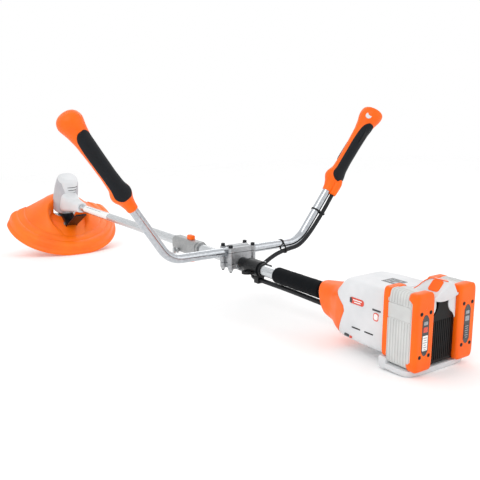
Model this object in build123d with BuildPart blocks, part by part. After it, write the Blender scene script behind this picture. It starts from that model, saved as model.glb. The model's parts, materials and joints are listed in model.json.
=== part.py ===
"""Battery brush cutter with a U-handlebar, as separate pieces.

Frame: millimetres, +Z up, +X from the cutter back to the powerhead along the boom,
+Y to the operator's right. The origin is under the middle of the machine, level with
the lowest edge of the guard.
"""
from build123d import *

import os
from math import cos, pi, radians, sin, tan

os.makedirs("parts", exist_ok=True)

# ---- boom ----
COLLAR_X = 662.0  # front face of the powerhead's collar, along the row's X
BOOM_Z = 184.6  # boom axis above the ground
TUBE_R = 13.0
TUBE_WALL = 1.5
FRONT_TUBE_FROM = -1474.0  # stations along the boom are counted from the collar's face
BOOM_SPLIT = -556.0
SPLIT_GAP = 4.0
REAR_TUBE_TO = 60.0
LEAD_R = 3.0

# ---- cutter head ----
HEAD_X = -1530.0  # where the spindle axis crosses the boom axis
HEAD_TILT = 26.0  # the cutting plane against the boom
HEAD_R = 42.0
HEAD_TOP_R = 34.0
HEAD_TOP = 115.0  # heights in the head are along the spindle from the boom axis
HEAD_BOTTOM = -25.0
HEAD_WALL = 4.0
MOTOR_R = HEAD_R - HEAD_WALL - 2.0
SOCKET_END = -1345.0
SOCKET_R = TUBE_R + 4.5
SPINDLE_R = 6.0
BEARING_R = 14.0
BEARING_W = 10.0
RUNNING = 0.03  # radial running clearance
GAP = 0.4  # clearance between pieces that move past each other

# ---- guard and blade ----
GUARD_R = 214.0
GUARD_RIM = -101.0
GUARD_SKIRT_TOP = -67.0
GUARD_TOP_R = GUARD_R - 17.0
GUARD_DECK = -60.0
GUARD_HUB_R = 47.0
GUARD_T = 3.0
BLADE_R = 127.0
BLADE_T = 1.8
BLADE_H = -84.0
BLADE_BORE_R = 12.7

# ---- coupler ----
COUPLER_FROM = -613.0
COUPLER_TO = -493.0
COUPLER_W = 2 * TUBE_R + 10.0
PIN_X = -540.0
PIN_R = 4.0
WING_X = -582.0
WING_Z = -19.5
WING_R = 4.0

# ---- handlebar and its clamp ----
BAR_X = -313.0
BAR_Z = 28.0
BAR_R = 11.0
BAR_WALL = 1.6
BAR_HALF = 187.8  # corner of the bar's centre line to the middle
BAR_ARM = 385.0
BAR_BEND = 62.0
BAR_DIR = Vector(0.040, 0.582, 0.812).normalized()
SLEEVE_R = TUBE_R + 1.5
SLEEVE_FROM = -356.0
SLEEVE_TO = -266.0
CLAMP_BOLT_DX = 17.0
CLAMP_BOLT_DY = 32.0
CLAMP_BOLT_R = 3.0
CLAMP_TOP = 40.0
CLAMP_FOOT = -12.0
CLAMP_GAP = 1.0

# ---- grips: distances are along the arm from the bar's corner ----
GRIP_FROM = 155.0
PAD_T = 2.5
PAD_FROM = 185.0
PAD_TO = 367.0
PAD_W = 30.0
TRIGGER_FROM = 245.0
TRIGGER_TO = 320.0
TRIGGER_PIVOT = (-15.0, 314.0)  # aft of the arm's axis, along the arm
TRIGGER_HALF_W = 6.0
LOCKOFF_FROM = 300.0
LOCKOFF_TO = 362.0
LOCKOFF_PIVOT = (15.8, 357.0)
LOCKOFF_HALF_W = 5.0
PIVOT_PIN_R = 1.5
PIVOT_PIN_HALF = 8.5
POWER_BUTTON_AT = 380.0
BUTTON_R = 8.0
BUTTON_H = 4.6
BUTTON_TRAVEL = 2.0
BUTTON_SEAT = 25.4  # underside of the button to the arm's axis

# ---- harness bracket, foam and conduit ----
BRACKET_FROM = -261.0
BRACKET_TO = -213.0
BRACKET_R = TUBE_R + 6.0
EYE = Vector(-237.0, -26.0, -8.0)
EYE_R = 6.5
EYE_RIM_R = 12.5
EYE_T = 5.0
FOAM_FROM = -154.0
FOAM_R = TUBE_R + 5.0
CONDUIT_R = 5.5
GLAND_DEPTH = 18.0  # length of conduit inside the foot of the right grip

# ---- powerhead ----
BODY_HALF_W = 60.0
BODY_TO = 234.5
BODY_WALL = 3.0
TOWER_HALF_W = 31.0
TOWER_TO = 300.0
PANEL_T = 10.0
TRAY_TOP = -58.5
RELEASE_X = 292.5
RELEASE_W = 22.0
RELEASE_H = 23.0
RELEASE_TRAVEL = 2.5
RELEASE_SINK = 3.5  # how deep the resting button reaches below the slope

# ---- battery packs ----
PACK_FROM = 235.0
PACK_TO = 310.0
PACK_IN = TOWER_HALF_W + 1.0
PACK_OUT = PACK_IN + 42.0
PACK_BOTTOM = -57.0
PACK_TOP = 76.0
FRONT_BUMPER_T = 7.0
REAR_BUMPER_T = 13.0
RAIL_X = 268.0
RAIL_W = 12.0
RAIL_H = 3.0

TILT = radians(HEAD_TILT)
SPIN = Vector(sin(TILT), 0, cos(TILT))  # up along the spindle
AFT = Vector(cos(TILT), 0, -sin(TILT))  # towards the operator in the cutting plane
HEAD_O = Vector(COLLAR_X + HEAD_X, 0, BOOM_Z)
RIGHT = Vector(0, 1, 0)

# ---- shapes given by tables ----
GRIP_SECTIONS = [  # along the arm, finger side, palm side, half width
    (155, -13, 13, 12.5), (166, -14.5, 14, 13.5), (180, -20, 16, 17), (193, -28, 20, 24),
    (204, -27, 21, 24.5), (220, -18, 18, 18), (250, -17, 17.5, 17), (300, -17.5, 19, 17.5),
    (340, -19, 21, 19), (365, -22, 26, 23), (383, -27, 31, 28), (396, -25, 30, 26.5),
    (405, -15, 20, 17),
]
CONDUIT_POINTS = [  # along the boom from the collar, to the right, above the boom axis
    (-292.6, 295.2, 160.4), (-293.5, 267.5, 118.5), (-296.5, 238, 77.5), (-295.5, 207, 44),
    (-295.5, 177, 21), (-296, 146, 17), (-295.4, 115, 11.8), (-293.8, 87, 2), (-291, 59, -12),
    (-283.5, 31, -23.5), (-267, 11.8, -26.3), (-244, 1.0, -26.4), (-203, 0, -26.5), (-122, 1, -26),
    (-43, 0, -26.8), (34, 0.5, -28.5),
]
BODY_SECTIONS = [  # station, half width, bottom, top, corner radius
    (6, 25, -39, 24, 24),
    (60, 34, -50, 31, 26),
    (88, 50, -55, 36, 22),
    (122, 59, -56, 63, 14),
    (160, BODY_HALF_W, -55, 64, 12),
    (BODY_TO, BODY_HALF_W, -55, 64, 12),
]
BOUNDARY = [(-5, 90), (93, 90), (93, 33), (121, 10), (124, 0), (98, -60), (98, -90), (-5, -90)]
TIE_BAR_GAP = 0.1
TIE_CONDUIT_GAP = 0.7
TIE_T = 1.5
TIE_HALF_W = 2.2
LED_PLACES = [(16.0, 73.0), (14.4, 69.6), (12.8, 66.2)]
LED_R = 1.3
PACK_SCREW_Y = (PACK_IN + 10.5, PACK_OUT - 9.5)
PACK_SCREW_Z = (-30, 44)
CELL_IN = PACK_IN + 4.2
CELL_OUT = PACK_OUT - 2.4
CELL_R = 8.75
CELL_X = 271.0
CELL_LONG = 63.5
CELL_PITCH_X = 18.0
CELL_PITCH_Y = 17.7
PACK_MIDDLE = (PACK_IN + PACK_OUT) / 2
PACK_MIDDLE_Z = (PACK_BOTTOM + PACK_TOP) / 2


def across(x, y=0.0, z=0.0):
    """Plane square to the boom at station x: sketch x is +Y, sketch y is +Z."""
    return Plane(origin=(COLLAR_X + x, y, BOOM_Z + z), x_dir=(0, 1, 0), z_dir=(1, 0, 0))


def level(z, x=0.0, y=0.0):
    """Horizontal plane: sketch x is +X, sketch y is +Y."""
    return Plane(origin=(COLLAR_X + x, y, BOOM_Z + z), x_dir=(1, 0, 0), z_dir=(0, 0, 1))


def side(y, x=0.0, z=0.0):
    """Upright plane along the boom, facing -Y: sketch x is +X, sketch y is +Z."""
    return Plane(origin=(COLLAR_X + x, y, BOOM_Z + z), x_dir=(1, 0, 0), z_dir=(0, -1, 0))


def head(h=0.0, u=0.0, y=0.0):
    """Plane square to the spindle: sketch x is aft, sketch y is +Y."""
    return Plane(origin=HEAD_O + SPIN * h + AFT * u + RIGHT * y, x_dir=AFT, z_dir=SPIN)


def head_profile():
    """Plane through the spindle: sketch x is the radius, sketch y the height."""
    return Plane(origin=HEAD_O, x_dir=AFT, z_dir=AFT.cross(SPIN))


SPINDLE = Axis(origin=HEAD_O, direction=SPIN)


def save(piece, name):
    piece.part.label = name
    export_step(piece.part, f"parts/{name}.step")


def disc(plane, radius, height, hole=0.0):
    """Round plate or ring that stands on a plane."""
    with BuildPart() as ring:
        with BuildSketch(plane):
            Circle(radius)
            if hole:
                Circle(hole, mode=Mode.SUBTRACT)
        extrude(amount=height)
    return ring.part


def save_disc(name, plane, radius, height, hole=0.0):
    with BuildPart() as ring:
        add(disc(plane, radius, height, hole))
    save(ring, name)


# =====================================================================
# Cutter head
# =====================================================================
def head_outer():
    """Round motor barrel that runs back into the boom's socket."""
    with BuildPart() as outer:
        with BuildSketch(head_profile()):
            with BuildLine():
                Polyline(
                    (0, HEAD_BOTTOM), (HEAD_R - 3, HEAD_BOTTOM), (HEAD_R, HEAD_BOTTOM + 4),
                    (HEAD_R, 58), (HEAD_TOP_R + 3, HEAD_TOP - 9), (HEAD_TOP_R - 5, HEAD_TOP),
                    (0, HEAD_TOP), (0, HEAD_BOTTOM),
                )
            make_face()
        revolve(axis=SPINDLE)
        with BuildSketch(across(HEAD_X + 52, z=2)):
            RectangleRounded(72, 84, 22)
        with BuildSketch(across(HEAD_X + 120, z=1)):
            RectangleRounded(50, 52, 22)
        with BuildSketch(across(SOCKET_END)):
            RectangleRounded(2 * SOCKET_R, 2 * SOCKET_R, SOCKET_R - 0.5)
        loft(ruled=True)
    return outer.part


def head_housing(name, keep):
    cavity_r = HEAD_R - HEAD_WALL
    with BuildPart() as shell:
        add(head_outer())
        add(disc(head(HEAD_BOTTOM), cavity_r, 72 - HEAD_BOTTOM), mode=Mode.SUBTRACT)
        add(disc(head(72), BEARING_R, 18), mode=Mode.SUBTRACT)
        add(disc(head(96), HEAD_TOP_R - 7, HEAD_TOP - 96 - HEAD_WALL), mode=Mode.SUBTRACT)
        with BuildSketch(across(FRONT_TUBE_FROM)):
            Circle(TUBE_R)
        extrude(amount=SOCKET_END - FRONT_TUBE_FROM + 5, mode=Mode.SUBTRACT)
        with BuildSketch(across(HEAD_X + 25)):
            Circle(8)
        extrude(amount=40, mode=Mode.SUBTRACT)
        for height in (66, 76, 86):
            with BuildSketch(side(0, x=HEAD_X + 64, z=height - 10)):
                SlotOverall(18, 3)
            extrude(amount=60, both=True, mode=Mode.SUBTRACT)
        split(bisect_by=Plane.XZ, keep=keep)
    save(shell, name)


def motor_stator():
    with BuildPart() as stator:
        with BuildSketch(head(15)):
            Circle(MOTOR_R)
            Circle(22.5, mode=Mode.SUBTRACT)
            with PolarLocations(26.5, 12):
                Rectangle(7, 4, mode=Mode.SUBTRACT)
        extrude(amount=50)
    save(stator, "motor_stator")


def motor_rotor():
    with BuildPart() as rotor:
        with BuildSketch(head(17)):
            Circle(21.5)
            Circle(SPINDLE_R, mode=Mode.SUBTRACT)
        extrude(amount=46)
    save(rotor, "motor_rotor")


def spindle():
    """Motor shaft; it steps down to the blade's seat and its threaded end."""
    with BuildPart() as shaft:
        add(disc(head(BLADE_H - 15), 5, 40))
        add(disc(head(BLADE_H + 22), SPINDLE_R, 88 - BLADE_H - 22))
        for at in (-14.5, 74):
            add(disc(head(at), SPINDLE_R + 1, BEARING_W + 1), mode=Mode.SUBTRACT)
            add(disc(head(at), SPINDLE_R - RUNNING, BEARING_W + 1))
    save(shaft, "spindle")


def spindle_bearings():
    with BuildPart() as bearings:
        for at in (-14, 74.5):
            add(disc(head(at), BEARING_R, BEARING_W, SPINDLE_R))
    save(bearings, "spindle_bearings")


def head_flange():
    """Cast end bell: closes the barrel and carries the lower bearing."""
    with BuildPart() as bell:
        add(disc(head(HEAD_BOTTOM - 5), HEAD_R, 5))
        add(disc(head(HEAD_BOTTOM), HEAD_R - HEAD_WALL - 0.2, 8))
        add(disc(head(HEAD_BOTTOM + 8), BEARING_R + 5, 15))
        add(disc(head(-14), BEARING_R, BEARING_W + 20), mode=Mode.SUBTRACT)
        add(disc(head(HEAD_BOTTOM - 5), SPINDLE_R + 2, 40), mode=Mode.SUBTRACT)
    save(bell, "head_flange")


def guard_bracket():
    """Black channel bolted under the end bell; its cheeks hold the guard's ears."""
    top = HEAD_BOTTOM - 5
    with BuildPart() as channel:
        with BuildSketch(head_profile()):
            with BuildLine():
                Polyline(
                    (-38, top), (62, top), (98, -36), (166, 52), (171, 48),
                    (102, -41), (62, top - 5), (-38, top - 5), (-38, top),
                )
            make_face()
        extrude(amount=20, both=True)
        for sign in (-1, 1):
            with BuildSketch(head_profile().offset(-sign * 21)):
                with BuildLine():
                    Polyline((4, top), (62, top), (96, -36), (96, -57), (4, -57), (4, top))
                make_face()
            extrude(amount=1.5, both=True)
        add(disc(head(-60), 13, 40), mode=Mode.SUBTRACT)
        for u in (30, 82):
            with BuildSketch(head_profile()):
                with Locations((u, -46)):
                    Circle(4)
            extrude(amount=30, both=True, mode=Mode.SUBTRACT)
    save(channel, "guard_bracket")


def guard_outline():
    """Plan of the guard: a half disc whose front edge runs in to the hub's collar."""
    with BuildSketch(head(GUARD_RIM - 5)) as plan:
        with BuildLine():
            tip = (-19, 213)
            Spline(tip, (-46, 196), (-66, 150), (-70, 100), (-58, 62))
            ThreePointArc((-58, 62), (-70, 0), (-58, -62))
            Spline((-58, -62), (-70, -100), (-66, -150), (-46, -196), (-19, -213))
            ThreePointArc((-19, -213), (GUARD_R + 4, 0), tip)
        make_face()
    return plan.sketch


def guard_hub_collar():
    """Collar of the guard that stands up round the front of the barrel."""
    with BuildPart() as collar:
        add(disc(head(GUARD_DECK - 2), GUARD_HUB_R + 12, 58, GUARD_HUB_R))
        with BuildSketch(head_profile()):
            with BuildLine():
                Polyline((-5, -64), (90, -64), (90, 20), (-64, 20), (-64, -6), (-38, -6), (-5, -64))
            make_face()
        extrude(amount=80, both=True, mode=Mode.SUBTRACT)
    return collar.part


def guard_shield():
    plan = guard_outline()
    with BuildPart() as shield:
        with BuildSketch(head_profile()):
            with BuildLine():
                Polyline(
                    (GUARD_R, GUARD_RIM), (GUARD_R - GUARD_T, GUARD_RIM),
                    (GUARD_TOP_R - 5, GUARD_SKIRT_TOP - GUARD_T), (120, GUARD_DECK - 5),
                    (32, GUARD_DECK - GUARD_T), (32, GUARD_DECK), (120, GUARD_DECK - 2),
                    (GUARD_TOP_R - 4, GUARD_SKIRT_TOP), (GUARD_TOP_R, GUARD_SKIRT_TOP - 3),
                    (GUARD_R, GUARD_RIM),
                )
            make_face()
        revolve(axis=SPINDLE)
        extrude(plan, amount=60, mode=Mode.INTERSECT)
        add(guard_hub_collar())
        for sign in (-1, 1):
            with BuildSketch(head_profile().offset(-sign * 17.4)):
                with BuildLine():
                    Polyline((20, -61), (20, -38), (92, -40), (92, -61.5), (20, -61))
                make_face()
            extrude(amount=1.8, both=True)
        for u in (30, 82):
            with BuildSketch(head_profile()):
                with Locations((u, -46)):
                    Circle(4)
            extrude(amount=30, both=True, mode=Mode.SUBTRACT)
    save(shield, "guard_shield")


def guard_bolts():
    """Two through bolts across the channel, each with its head and nut."""
    with BuildPart() as bolts:
        for u in (30, 82):
            with BuildSketch(head_profile().offset(-23)):
                with Locations((u, -46)):
                    Circle(4)
            extrude(amount=50)
            with BuildSketch(head_profile().offset(23)):
                with Locations((u, -46)):
                    RegularPolygon(7.5, 6)
            extrude(amount=5)
            with BuildSketch(head_profile().offset(-23)):
                with Locations((u, -46)):
                    RegularPolygon(7.5, 6)
            extrude(amount=-6)
    save(bolts, "guard_bolts")


def drive_flange():
    """Splined driver on the spindle that carries and centres the blade."""
    with BuildPart() as driver:
        add(disc(head(BLADE_H + BLADE_T), 26, 5))
        add(disc(head(BLADE_H + BLADE_T), 15, 17))
        add(disc(head(BLADE_H), BLADE_BORE_R - 0.1, BLADE_T + 0.2))
        add(disc(head(BLADE_H - 1), 5, 40), mode=Mode.SUBTRACT)
    save(driver, "drive_flange")


def blade_arm():
    with BuildSketch() as arm:
        with BuildLine():
            Polyline(
                (30, -34), (BLADE_R - 34, -23), (BLADE_R - 6, -18), (BLADE_R - 0.5, 2),
                (BLADE_R - 18, 8), (BLADE_R - 46, 14), (30, 36), (30, -34),
            )
        make_face()
    return arm.sketch


def cutting_blade():
    """Three-tooth steel blade."""
    with BuildPart() as blade:
        with BuildSketch(head(BLADE_H)):
            Circle(46)
            with PolarLocations(0, 3):
                add(blade_arm())
            Circle(BLADE_BORE_R, mode=Mode.SUBTRACT)
            with PolarLocations(32, 3, start_angle=60):
                Circle(5, mode=Mode.SUBTRACT)
        extrude(amount=BLADE_T)
    save(blade, "cutting_blade")


def blade_washer():
    save_disc("blade_washer", head(BLADE_H - 3), 22, 3, 5)


def blade_cup():
    """Saucer that lets the head ride on the ground."""
    with BuildPart() as cup:
        with BuildSketch(head_profile()):
            with BuildLine():
                Polyline(
                    (5, BLADE_H - 3), (24, BLADE_H - 3), (33, BLADE_H - 7), (31, BLADE_H - 10),
                    (24, BLADE_H - 6), (5, BLADE_H - 6), (5, BLADE_H - 3),
                )
            make_face()
        revolve(axis=SPINDLE)
    save(cup, "blade_cup")


def blade_nut():
    with BuildPart() as nut:
        with BuildSketch(head(BLADE_H - 14)):
            RegularPolygon(9.5, 6)
            Circle(5, mode=Mode.SUBTRACT)
        extrude(amount=8)
    save(nut, "blade_nut")


# =====================================================================
# Boom and coupler
# =====================================================================
def boom_tube(name, start, end):
    with BuildPart() as tube:
        with BuildSketch(across(start)):
            Circle(TUBE_R)
            Circle(TUBE_R - TUBE_WALL, mode=Mode.SUBTRACT)
        extrude(amount=end - start)
        if start < PIN_X < end:
            with BuildSketch(level(0, x=PIN_X)):
                Circle(PIN_R + GAP)
            extrude(amount=2 * TUBE_R, mode=Mode.SUBTRACT)
    save(tube, name)


def motor_lead():
    """Lead that runs inside both tubes from the controller to the motor."""
    with BuildPart() as lead:
        with BuildSketch(across(HEAD_X + 46)):
            Circle(LEAD_R)
        extrude(amount=REAR_TUBE_TO + 30 - HEAD_X - 46)
    save(lead, "motor_lead")


def coupler_body():
    """Cast sleeve over the joint of the two tubes, with a split lug under its front half."""
    length = COUPLER_TO - COUPLER_FROM
    with BuildPart() as body:
        with BuildSketch(across(COUPLER_FROM, z=-4)):
            RectangleRounded(COUPLER_W, 42, 12)
        extrude(amount=length)
        with BuildSketch(across(COUPLER_TO)):
            Circle(17)
        extrude(amount=10)
        with BuildSketch(level(-12, x=PIN_X)):
            Circle(9)
        extrude(amount=-26)
        with BuildSketch(across(COUPLER_FROM - 1)):
            Circle(TUBE_R)
        extrude(amount=length + 20, mode=Mode.SUBTRACT)
        with BuildSketch(across(COUPLER_FROM, z=-20)):
            Rectangle(2.5, 20)
        extrude(amount=52, mode=Mode.SUBTRACT)
        with BuildSketch(side(-30, x=WING_X, z=WING_Z)):
            Circle(WING_R + RUNNING)
        extrude(amount=-60, mode=Mode.SUBTRACT)
        with BuildSketch(level(-20, x=PIN_X)):
            Circle(PIN_R + RUNNING)
        extrude(amount=60, mode=Mode.SUBTRACT)
    save(body, "coupler_body")


def wing_bolt():
    """Clamp bolt of the coupler with a winged head on the operator's left."""
    with BuildPart() as bolt:
        with BuildSketch(side(16, x=WING_X, z=WING_Z)):
            Circle(WING_R)
        extrude(amount=44)
        with BuildSketch(side(-COUPLER_W / 2 - GAP, x=WING_X, z=WING_Z)):
            Circle(7.5)
        extrude(amount=3)
        with BuildSketch(side(-COUPLER_W / 2 - 9, x=WING_X, z=WING_Z)):
            Ellipse(4.5, 13)
        extrude(amount=6)
    save(bolt, "wing_bolt")


def coupler_pin():
    """Spring pin that drops through a hole in the rear tube; its knob is on top."""
    with BuildPart() as pin:
        with BuildSketch(level(9, x=PIN_X)):
            Circle(PIN_R)
        extrude(amount=12)
        with BuildSketch(level(17 + GAP, x=PIN_X)):
            RectangleRounded(26, 15, 6)
        extrude(amount=11)
        fillet(pin.edges().group_by(Axis.Z)[-1], 3)
    save(pin, "coupler_pin")


def coupler_cap():
    with BuildPart() as cap:
        with BuildSketch(level(-38, x=PIN_X)):
            RectangleRounded(22, 16, 6)
        extrude(amount=-7)
        fillet(cap.edges().group_by(Axis.Z)[0], 2.5)
    save(cap, "coupler_cap")


# =====================================================================
# Handlebar clamp and handlebar
# =====================================================================
def tube_sleeve():
    save_disc("tube_sleeve", across(SLEEVE_FROM), SLEEVE_R, SLEEVE_TO - SLEEVE_FROM, TUBE_R)


def bolt_places():
    return [(sx * CLAMP_BOLT_DX, sy * CLAMP_BOLT_DY) for sx in (-1, 1) for sy in (-1, 1)]


def clamp_block(name, low, high, bulge_low=0.0, bulge_high=0.0):
    """One layer of the clamp: four bolt bosses joined by a saddle over the tubes."""
    with BuildPart() as block:
        with BuildSketch(level(low, x=BAR_X)):
            with Locations(*bolt_places()):
                Circle(7)
            RectangleRounded(2 * CLAMP_BOLT_DX + 8, 2 * CLAMP_BOLT_DY - 4, 6)
        extrude(amount=high - low)
        if bulge_high:
            with BuildSketch(side(CLAMP_BOLT_DY - 6, x=BAR_X, z=BAR_Z)):
                Circle(BAR_R + 4.5)
            extrude(amount=2 * CLAMP_BOLT_DY - 12)
        if bulge_low:
            with BuildSketch(across(BAR_X - CLAMP_BOLT_DX - 6)):
                Circle(SLEEVE_R + 5)
            extrude(amount=2 * CLAMP_BOLT_DX + 12)
        if bulge_high:
            with BuildSketch(level(low - 40, x=BAR_X)):
                Rectangle(120, 120)
            extrude(amount=40, mode=Mode.SUBTRACT)
        if bulge_low:
            with BuildSketch(level(high, x=BAR_X)):
                Rectangle(120, 120)
            extrude(amount=60, mode=Mode.SUBTRACT)
        with BuildSketch(side(60, x=BAR_X, z=BAR_Z)):
            Circle(BAR_R)
        extrude(amount=120, mode=Mode.SUBTRACT)
        with BuildSketch(across(BAR_X - 60)):
            Circle(SLEEVE_R)
        extrude(amount=120, mode=Mode.SUBTRACT)
        with BuildSketch(level(low - 1, x=BAR_X)):
            with Locations(*bolt_places()):
                Circle(CLAMP_BOLT_R)
        extrude(amount=high - low + 2, mode=Mode.SUBTRACT)
    save(block, name)


def clamp_bolts():
    """Four long socket-head bolts."""
    with BuildPart() as bolts:
        with BuildSketch(level(CLAMP_FOOT - 8, x=BAR_X)):
            with Locations(*bolt_places()):
                Circle(CLAMP_BOLT_R)
        extrude(amount=CLAMP_TOP - CLAMP_FOOT + 8)
        with BuildSketch(level(CLAMP_TOP, x=BAR_X)):
            with Locations(*bolt_places()):
                Circle(5)
        extrude(amount=6.5)
        with BuildSketch(level(CLAMP_TOP + 3, x=BAR_X)):
            with Locations(*bolt_places()):
                RegularPolygon(2.9, 6)
        extrude(amount=6, mode=Mode.SUBTRACT)
    save(bolts, "clamp_bolts")


def clamp_nuts():
    with BuildPart() as nuts:
        with BuildSketch(level(CLAMP_FOOT - 5, x=BAR_X)):
            with Locations(*bolt_places()):
                RegularPolygon(5.7, 6)
                Circle(CLAMP_BOLT_R, mode=Mode.SUBTRACT)
        extrude(amount=5)
    save(nuts, "clamp_nuts")


def arm_dir(sign):
    return Vector(BAR_DIR.X, sign * BAR_DIR.Y, BAR_DIR.Z)


def bar_corner(sign):
    return Vector(COLLAR_X + BAR_X, sign * BAR_HALF, BOOM_Z + BAR_Z)


def handlebar():
    with BuildPart() as bar:
        with BuildLine() as path:
            FilletPolyline(
                bar_corner(-1) + arm_dir(-1) * BAR_ARM, bar_corner(-1),
                bar_corner(1), bar_corner(1) + arm_dir(1) * BAR_ARM, radius=BAR_BEND,
            )
        with BuildSketch(Plane(origin=path.wires()[0] @ 0, z_dir=path.wires()[0] % 0)):
            Circle(BAR_R)
            Circle(BAR_R - BAR_WALL, mode=Mode.SUBTRACT)
        sweep()
    save(bar, "handlebar")


# =====================================================================
# Grips
# =====================================================================
def grip_plane(sign, along=0.0):
    """Square to an arm: sketch x points aft, to the palm; sketch y points outward or inward."""
    axis = arm_dir(sign)
    aft = (Vector(1, 0, 0) - axis * axis.X).normalized()
    return Plane(origin=bar_corner(sign) + axis * along, x_dir=aft, z_dir=axis)


def grip_profile(sign):
    axis = arm_dir(sign)
    plane = grip_plane(sign)
    return Plane(origin=plane.origin, x_dir=plane.x_dir, z_dir=plane.x_dir.cross(axis))


def grip_body(sign, grow=0.0):
    """Handle with a hand stop at its foot and a round head, about the arm's axis."""
    with BuildPart() as body:
        for along, finger, palm, half in GRIP_SECTIONS:
            with BuildSketch(grip_plane(sign, along)):
                with Locations(((finger + palm) / 2, 0)):
                    Ellipse((palm - finger) / 2 + grow, half + grow)
        loft(ruled=True)
    return body.part


def pad_zone(sign):
    """Space of the soft insert: the palm side of the grip between its two collars."""
    with BuildPart() as zone:
        with BuildSketch(grip_plane(sign, PAD_FROM)):
            with Locations((20, 0)):
                RectangleRounded(40, PAD_W, 8)
        extrude(amount=PAD_TO - PAD_FROM)
    return zone.part


def grip_bore(sign):
    return disc(grip_plane(sign, GRIP_FROM - 5), BAR_R, BAR_ARM - GRIP_FROM + 5.5)


def pad_recess(sign):
    with BuildPart() as recess:
        add(grip_body(sign, grow=2))
        add(grip_body(sign, grow=-PAD_T), mode=Mode.SUBTRACT)
        add(pad_zone(sign), mode=Mode.INTERSECT)
    return recess.part


def left_grip():
    with BuildPart() as grip:
        add(grip_body(-1))
        add(pad_recess(-1), mode=Mode.SUBTRACT)
        add(grip_bore(-1), mode=Mode.SUBTRACT)
    save(grip, "left_grip")


def grip_pad(name, sign):
    """Soft insert: a skin of the grip's own shape, laid in its recess."""
    with BuildPart() as pad:
        add(grip_body(sign, grow=0.6))
        add(grip_body(sign, grow=-PAD_T), mode=Mode.SUBTRACT)
        add(pad_zone(sign), mode=Mode.INTERSECT)
        if sign > 0:
            add(lockoff_zone(), mode=Mode.SUBTRACT)
            add(grip_gland()[0], mode=Mode.SUBTRACT)
            add(pin_solids(), mode=Mode.SUBTRACT)
    save(pad, name)


def grip_side():
    """Upright plane through the right arm: sketch x is aft, sketch y runs up the arm."""
    return grip_profile(1)


def trigger_zone():
    """Slot in the finger side of the right grip where the trigger swings."""
    with BuildPart() as zone:
        with BuildSketch(grip_side()):
            with Locations((-22, (TRIGGER_FROM + TRIGGER_TO) / 2)):
                Rectangle(20, TRIGGER_TO - TRIGGER_FROM + 6)
        extrude(amount=TRIGGER_HALF_W + GAP, both=True)
    return zone.part


def lockoff_zone():
    with BuildPart() as zone:
        with BuildSketch(grip_side()):
            with Locations((19, (LOCKOFF_FROM + LOCKOFF_TO) / 2)):
                Rectangle(13, LOCKOFF_TO - LOCKOFF_FROM + 4)
        extrude(amount=LOCKOFF_HALF_W + GAP, both=True)
    return zone.part


def right_grip():
    with BuildPart() as grip:
        add(grip_body(1))
        add(pad_recess(1), mode=Mode.SUBTRACT)
        lobe, hole = grip_gland()
        add(lobe)
        add(hole, mode=Mode.SUBTRACT)
        add(trigger_zone(), mode=Mode.SUBTRACT)
        add(lockoff_zone(), mode=Mode.SUBTRACT)
        add(pin_solids(), mode=Mode.SUBTRACT)
        pocket = power_button_plane(BUTTON_SEAT - BUTTON_TRAVEL - GAP)
        add(disc(pocket, BUTTON_R + GAP, 12), mode=Mode.SUBTRACT)
        add(grip_bore(1), mode=Mode.SUBTRACT)
    save(grip, "right_grip")


def rocker(name, outline, pivot, half_width):
    """Lever cut from its side outline, with a hole for its pivot pin."""
    with BuildPart() as lever:
        with BuildSketch(grip_side()):
            with BuildLine():
                Polyline(*outline, outline[0])
            make_face()
            with Locations(pivot):
                Circle(PIVOT_PIN_R + RUNNING, mode=Mode.SUBTRACT)
        extrude(amount=half_width, both=True)
    save(lever, name)


def throttle_trigger():
    rocker("throttle_trigger", [
        (-12.6, 319), (-18, 320), (-20.5, 312), (-21.5, 292), (-22.5, 266), (-23, 254), (-21.5, 247),
        (-18.4, 248), (-17.8, 256), (-17, 270), (-15.6, 290), (-12.6, 306),
    ], TRIGGER_PIVOT, TRIGGER_HALF_W)


def lockoff_lever():
    rocker("lockoff_lever", [
        (13, 361), (19.5, 361), (22, 350), (23.4, 330), (22.4, 306), (20.4, 302.5), (17.8, 303),
        (18.2, 330), (13, 350),
    ], LOCKOFF_PIVOT, LOCKOFF_HALF_W)


def pin_solids():
    with BuildPart() as pins:
        with BuildSketch(grip_side()):
            with Locations(TRIGGER_PIVOT, LOCKOFF_PIVOT):
                Circle(PIVOT_PIN_R)
        extrude(amount=PIVOT_PIN_HALF, both=True)
    return pins.part


def pivot_pins():
    with BuildPart() as pins:
        add(pin_solids())
    save(pins, "pivot_pins")


def power_button_plane(distance):
    """Square to the button's travel, between the palm side and the inner side of the grip."""
    plane = grip_plane(1, POWER_BUTTON_AT)
    inward = grip_side().z_dir
    out = (plane.x_dir + inward).normalized()
    return Plane(origin=plane.origin + out * distance, x_dir=plane.z_dir, z_dir=out)


def power_button():
    with BuildPart() as button:
        add(disc(power_button_plane(BUTTON_SEAT), BUTTON_R, BUTTON_H))
        fillet(button.edges().filter_by(GeomType.CIRCLE), 0.8)
    save(button, "power_button")


# =====================================================================
# Control conduit, its ties, the harness bracket and the foam grip
# =====================================================================


def conduit_route():
    return [Vector(COLLAR_X + x, y, BOOM_Z + z) for x, y, z in CONDUIT_POINTS]


def bend_radii(points):
    """Each bend takes 0.45 of its shorter run, which gives the largest smooth arc."""
    radii = []
    for before, at, after in zip(points, points[1:], points[2:]):
        run_in = at - before
        run_out = after - at
        turn = radians(run_in.get_angle(run_out))
        radii.append(0.45 * min(run_in.length, run_out.length) / tan(turn / 2))
    return radii


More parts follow.
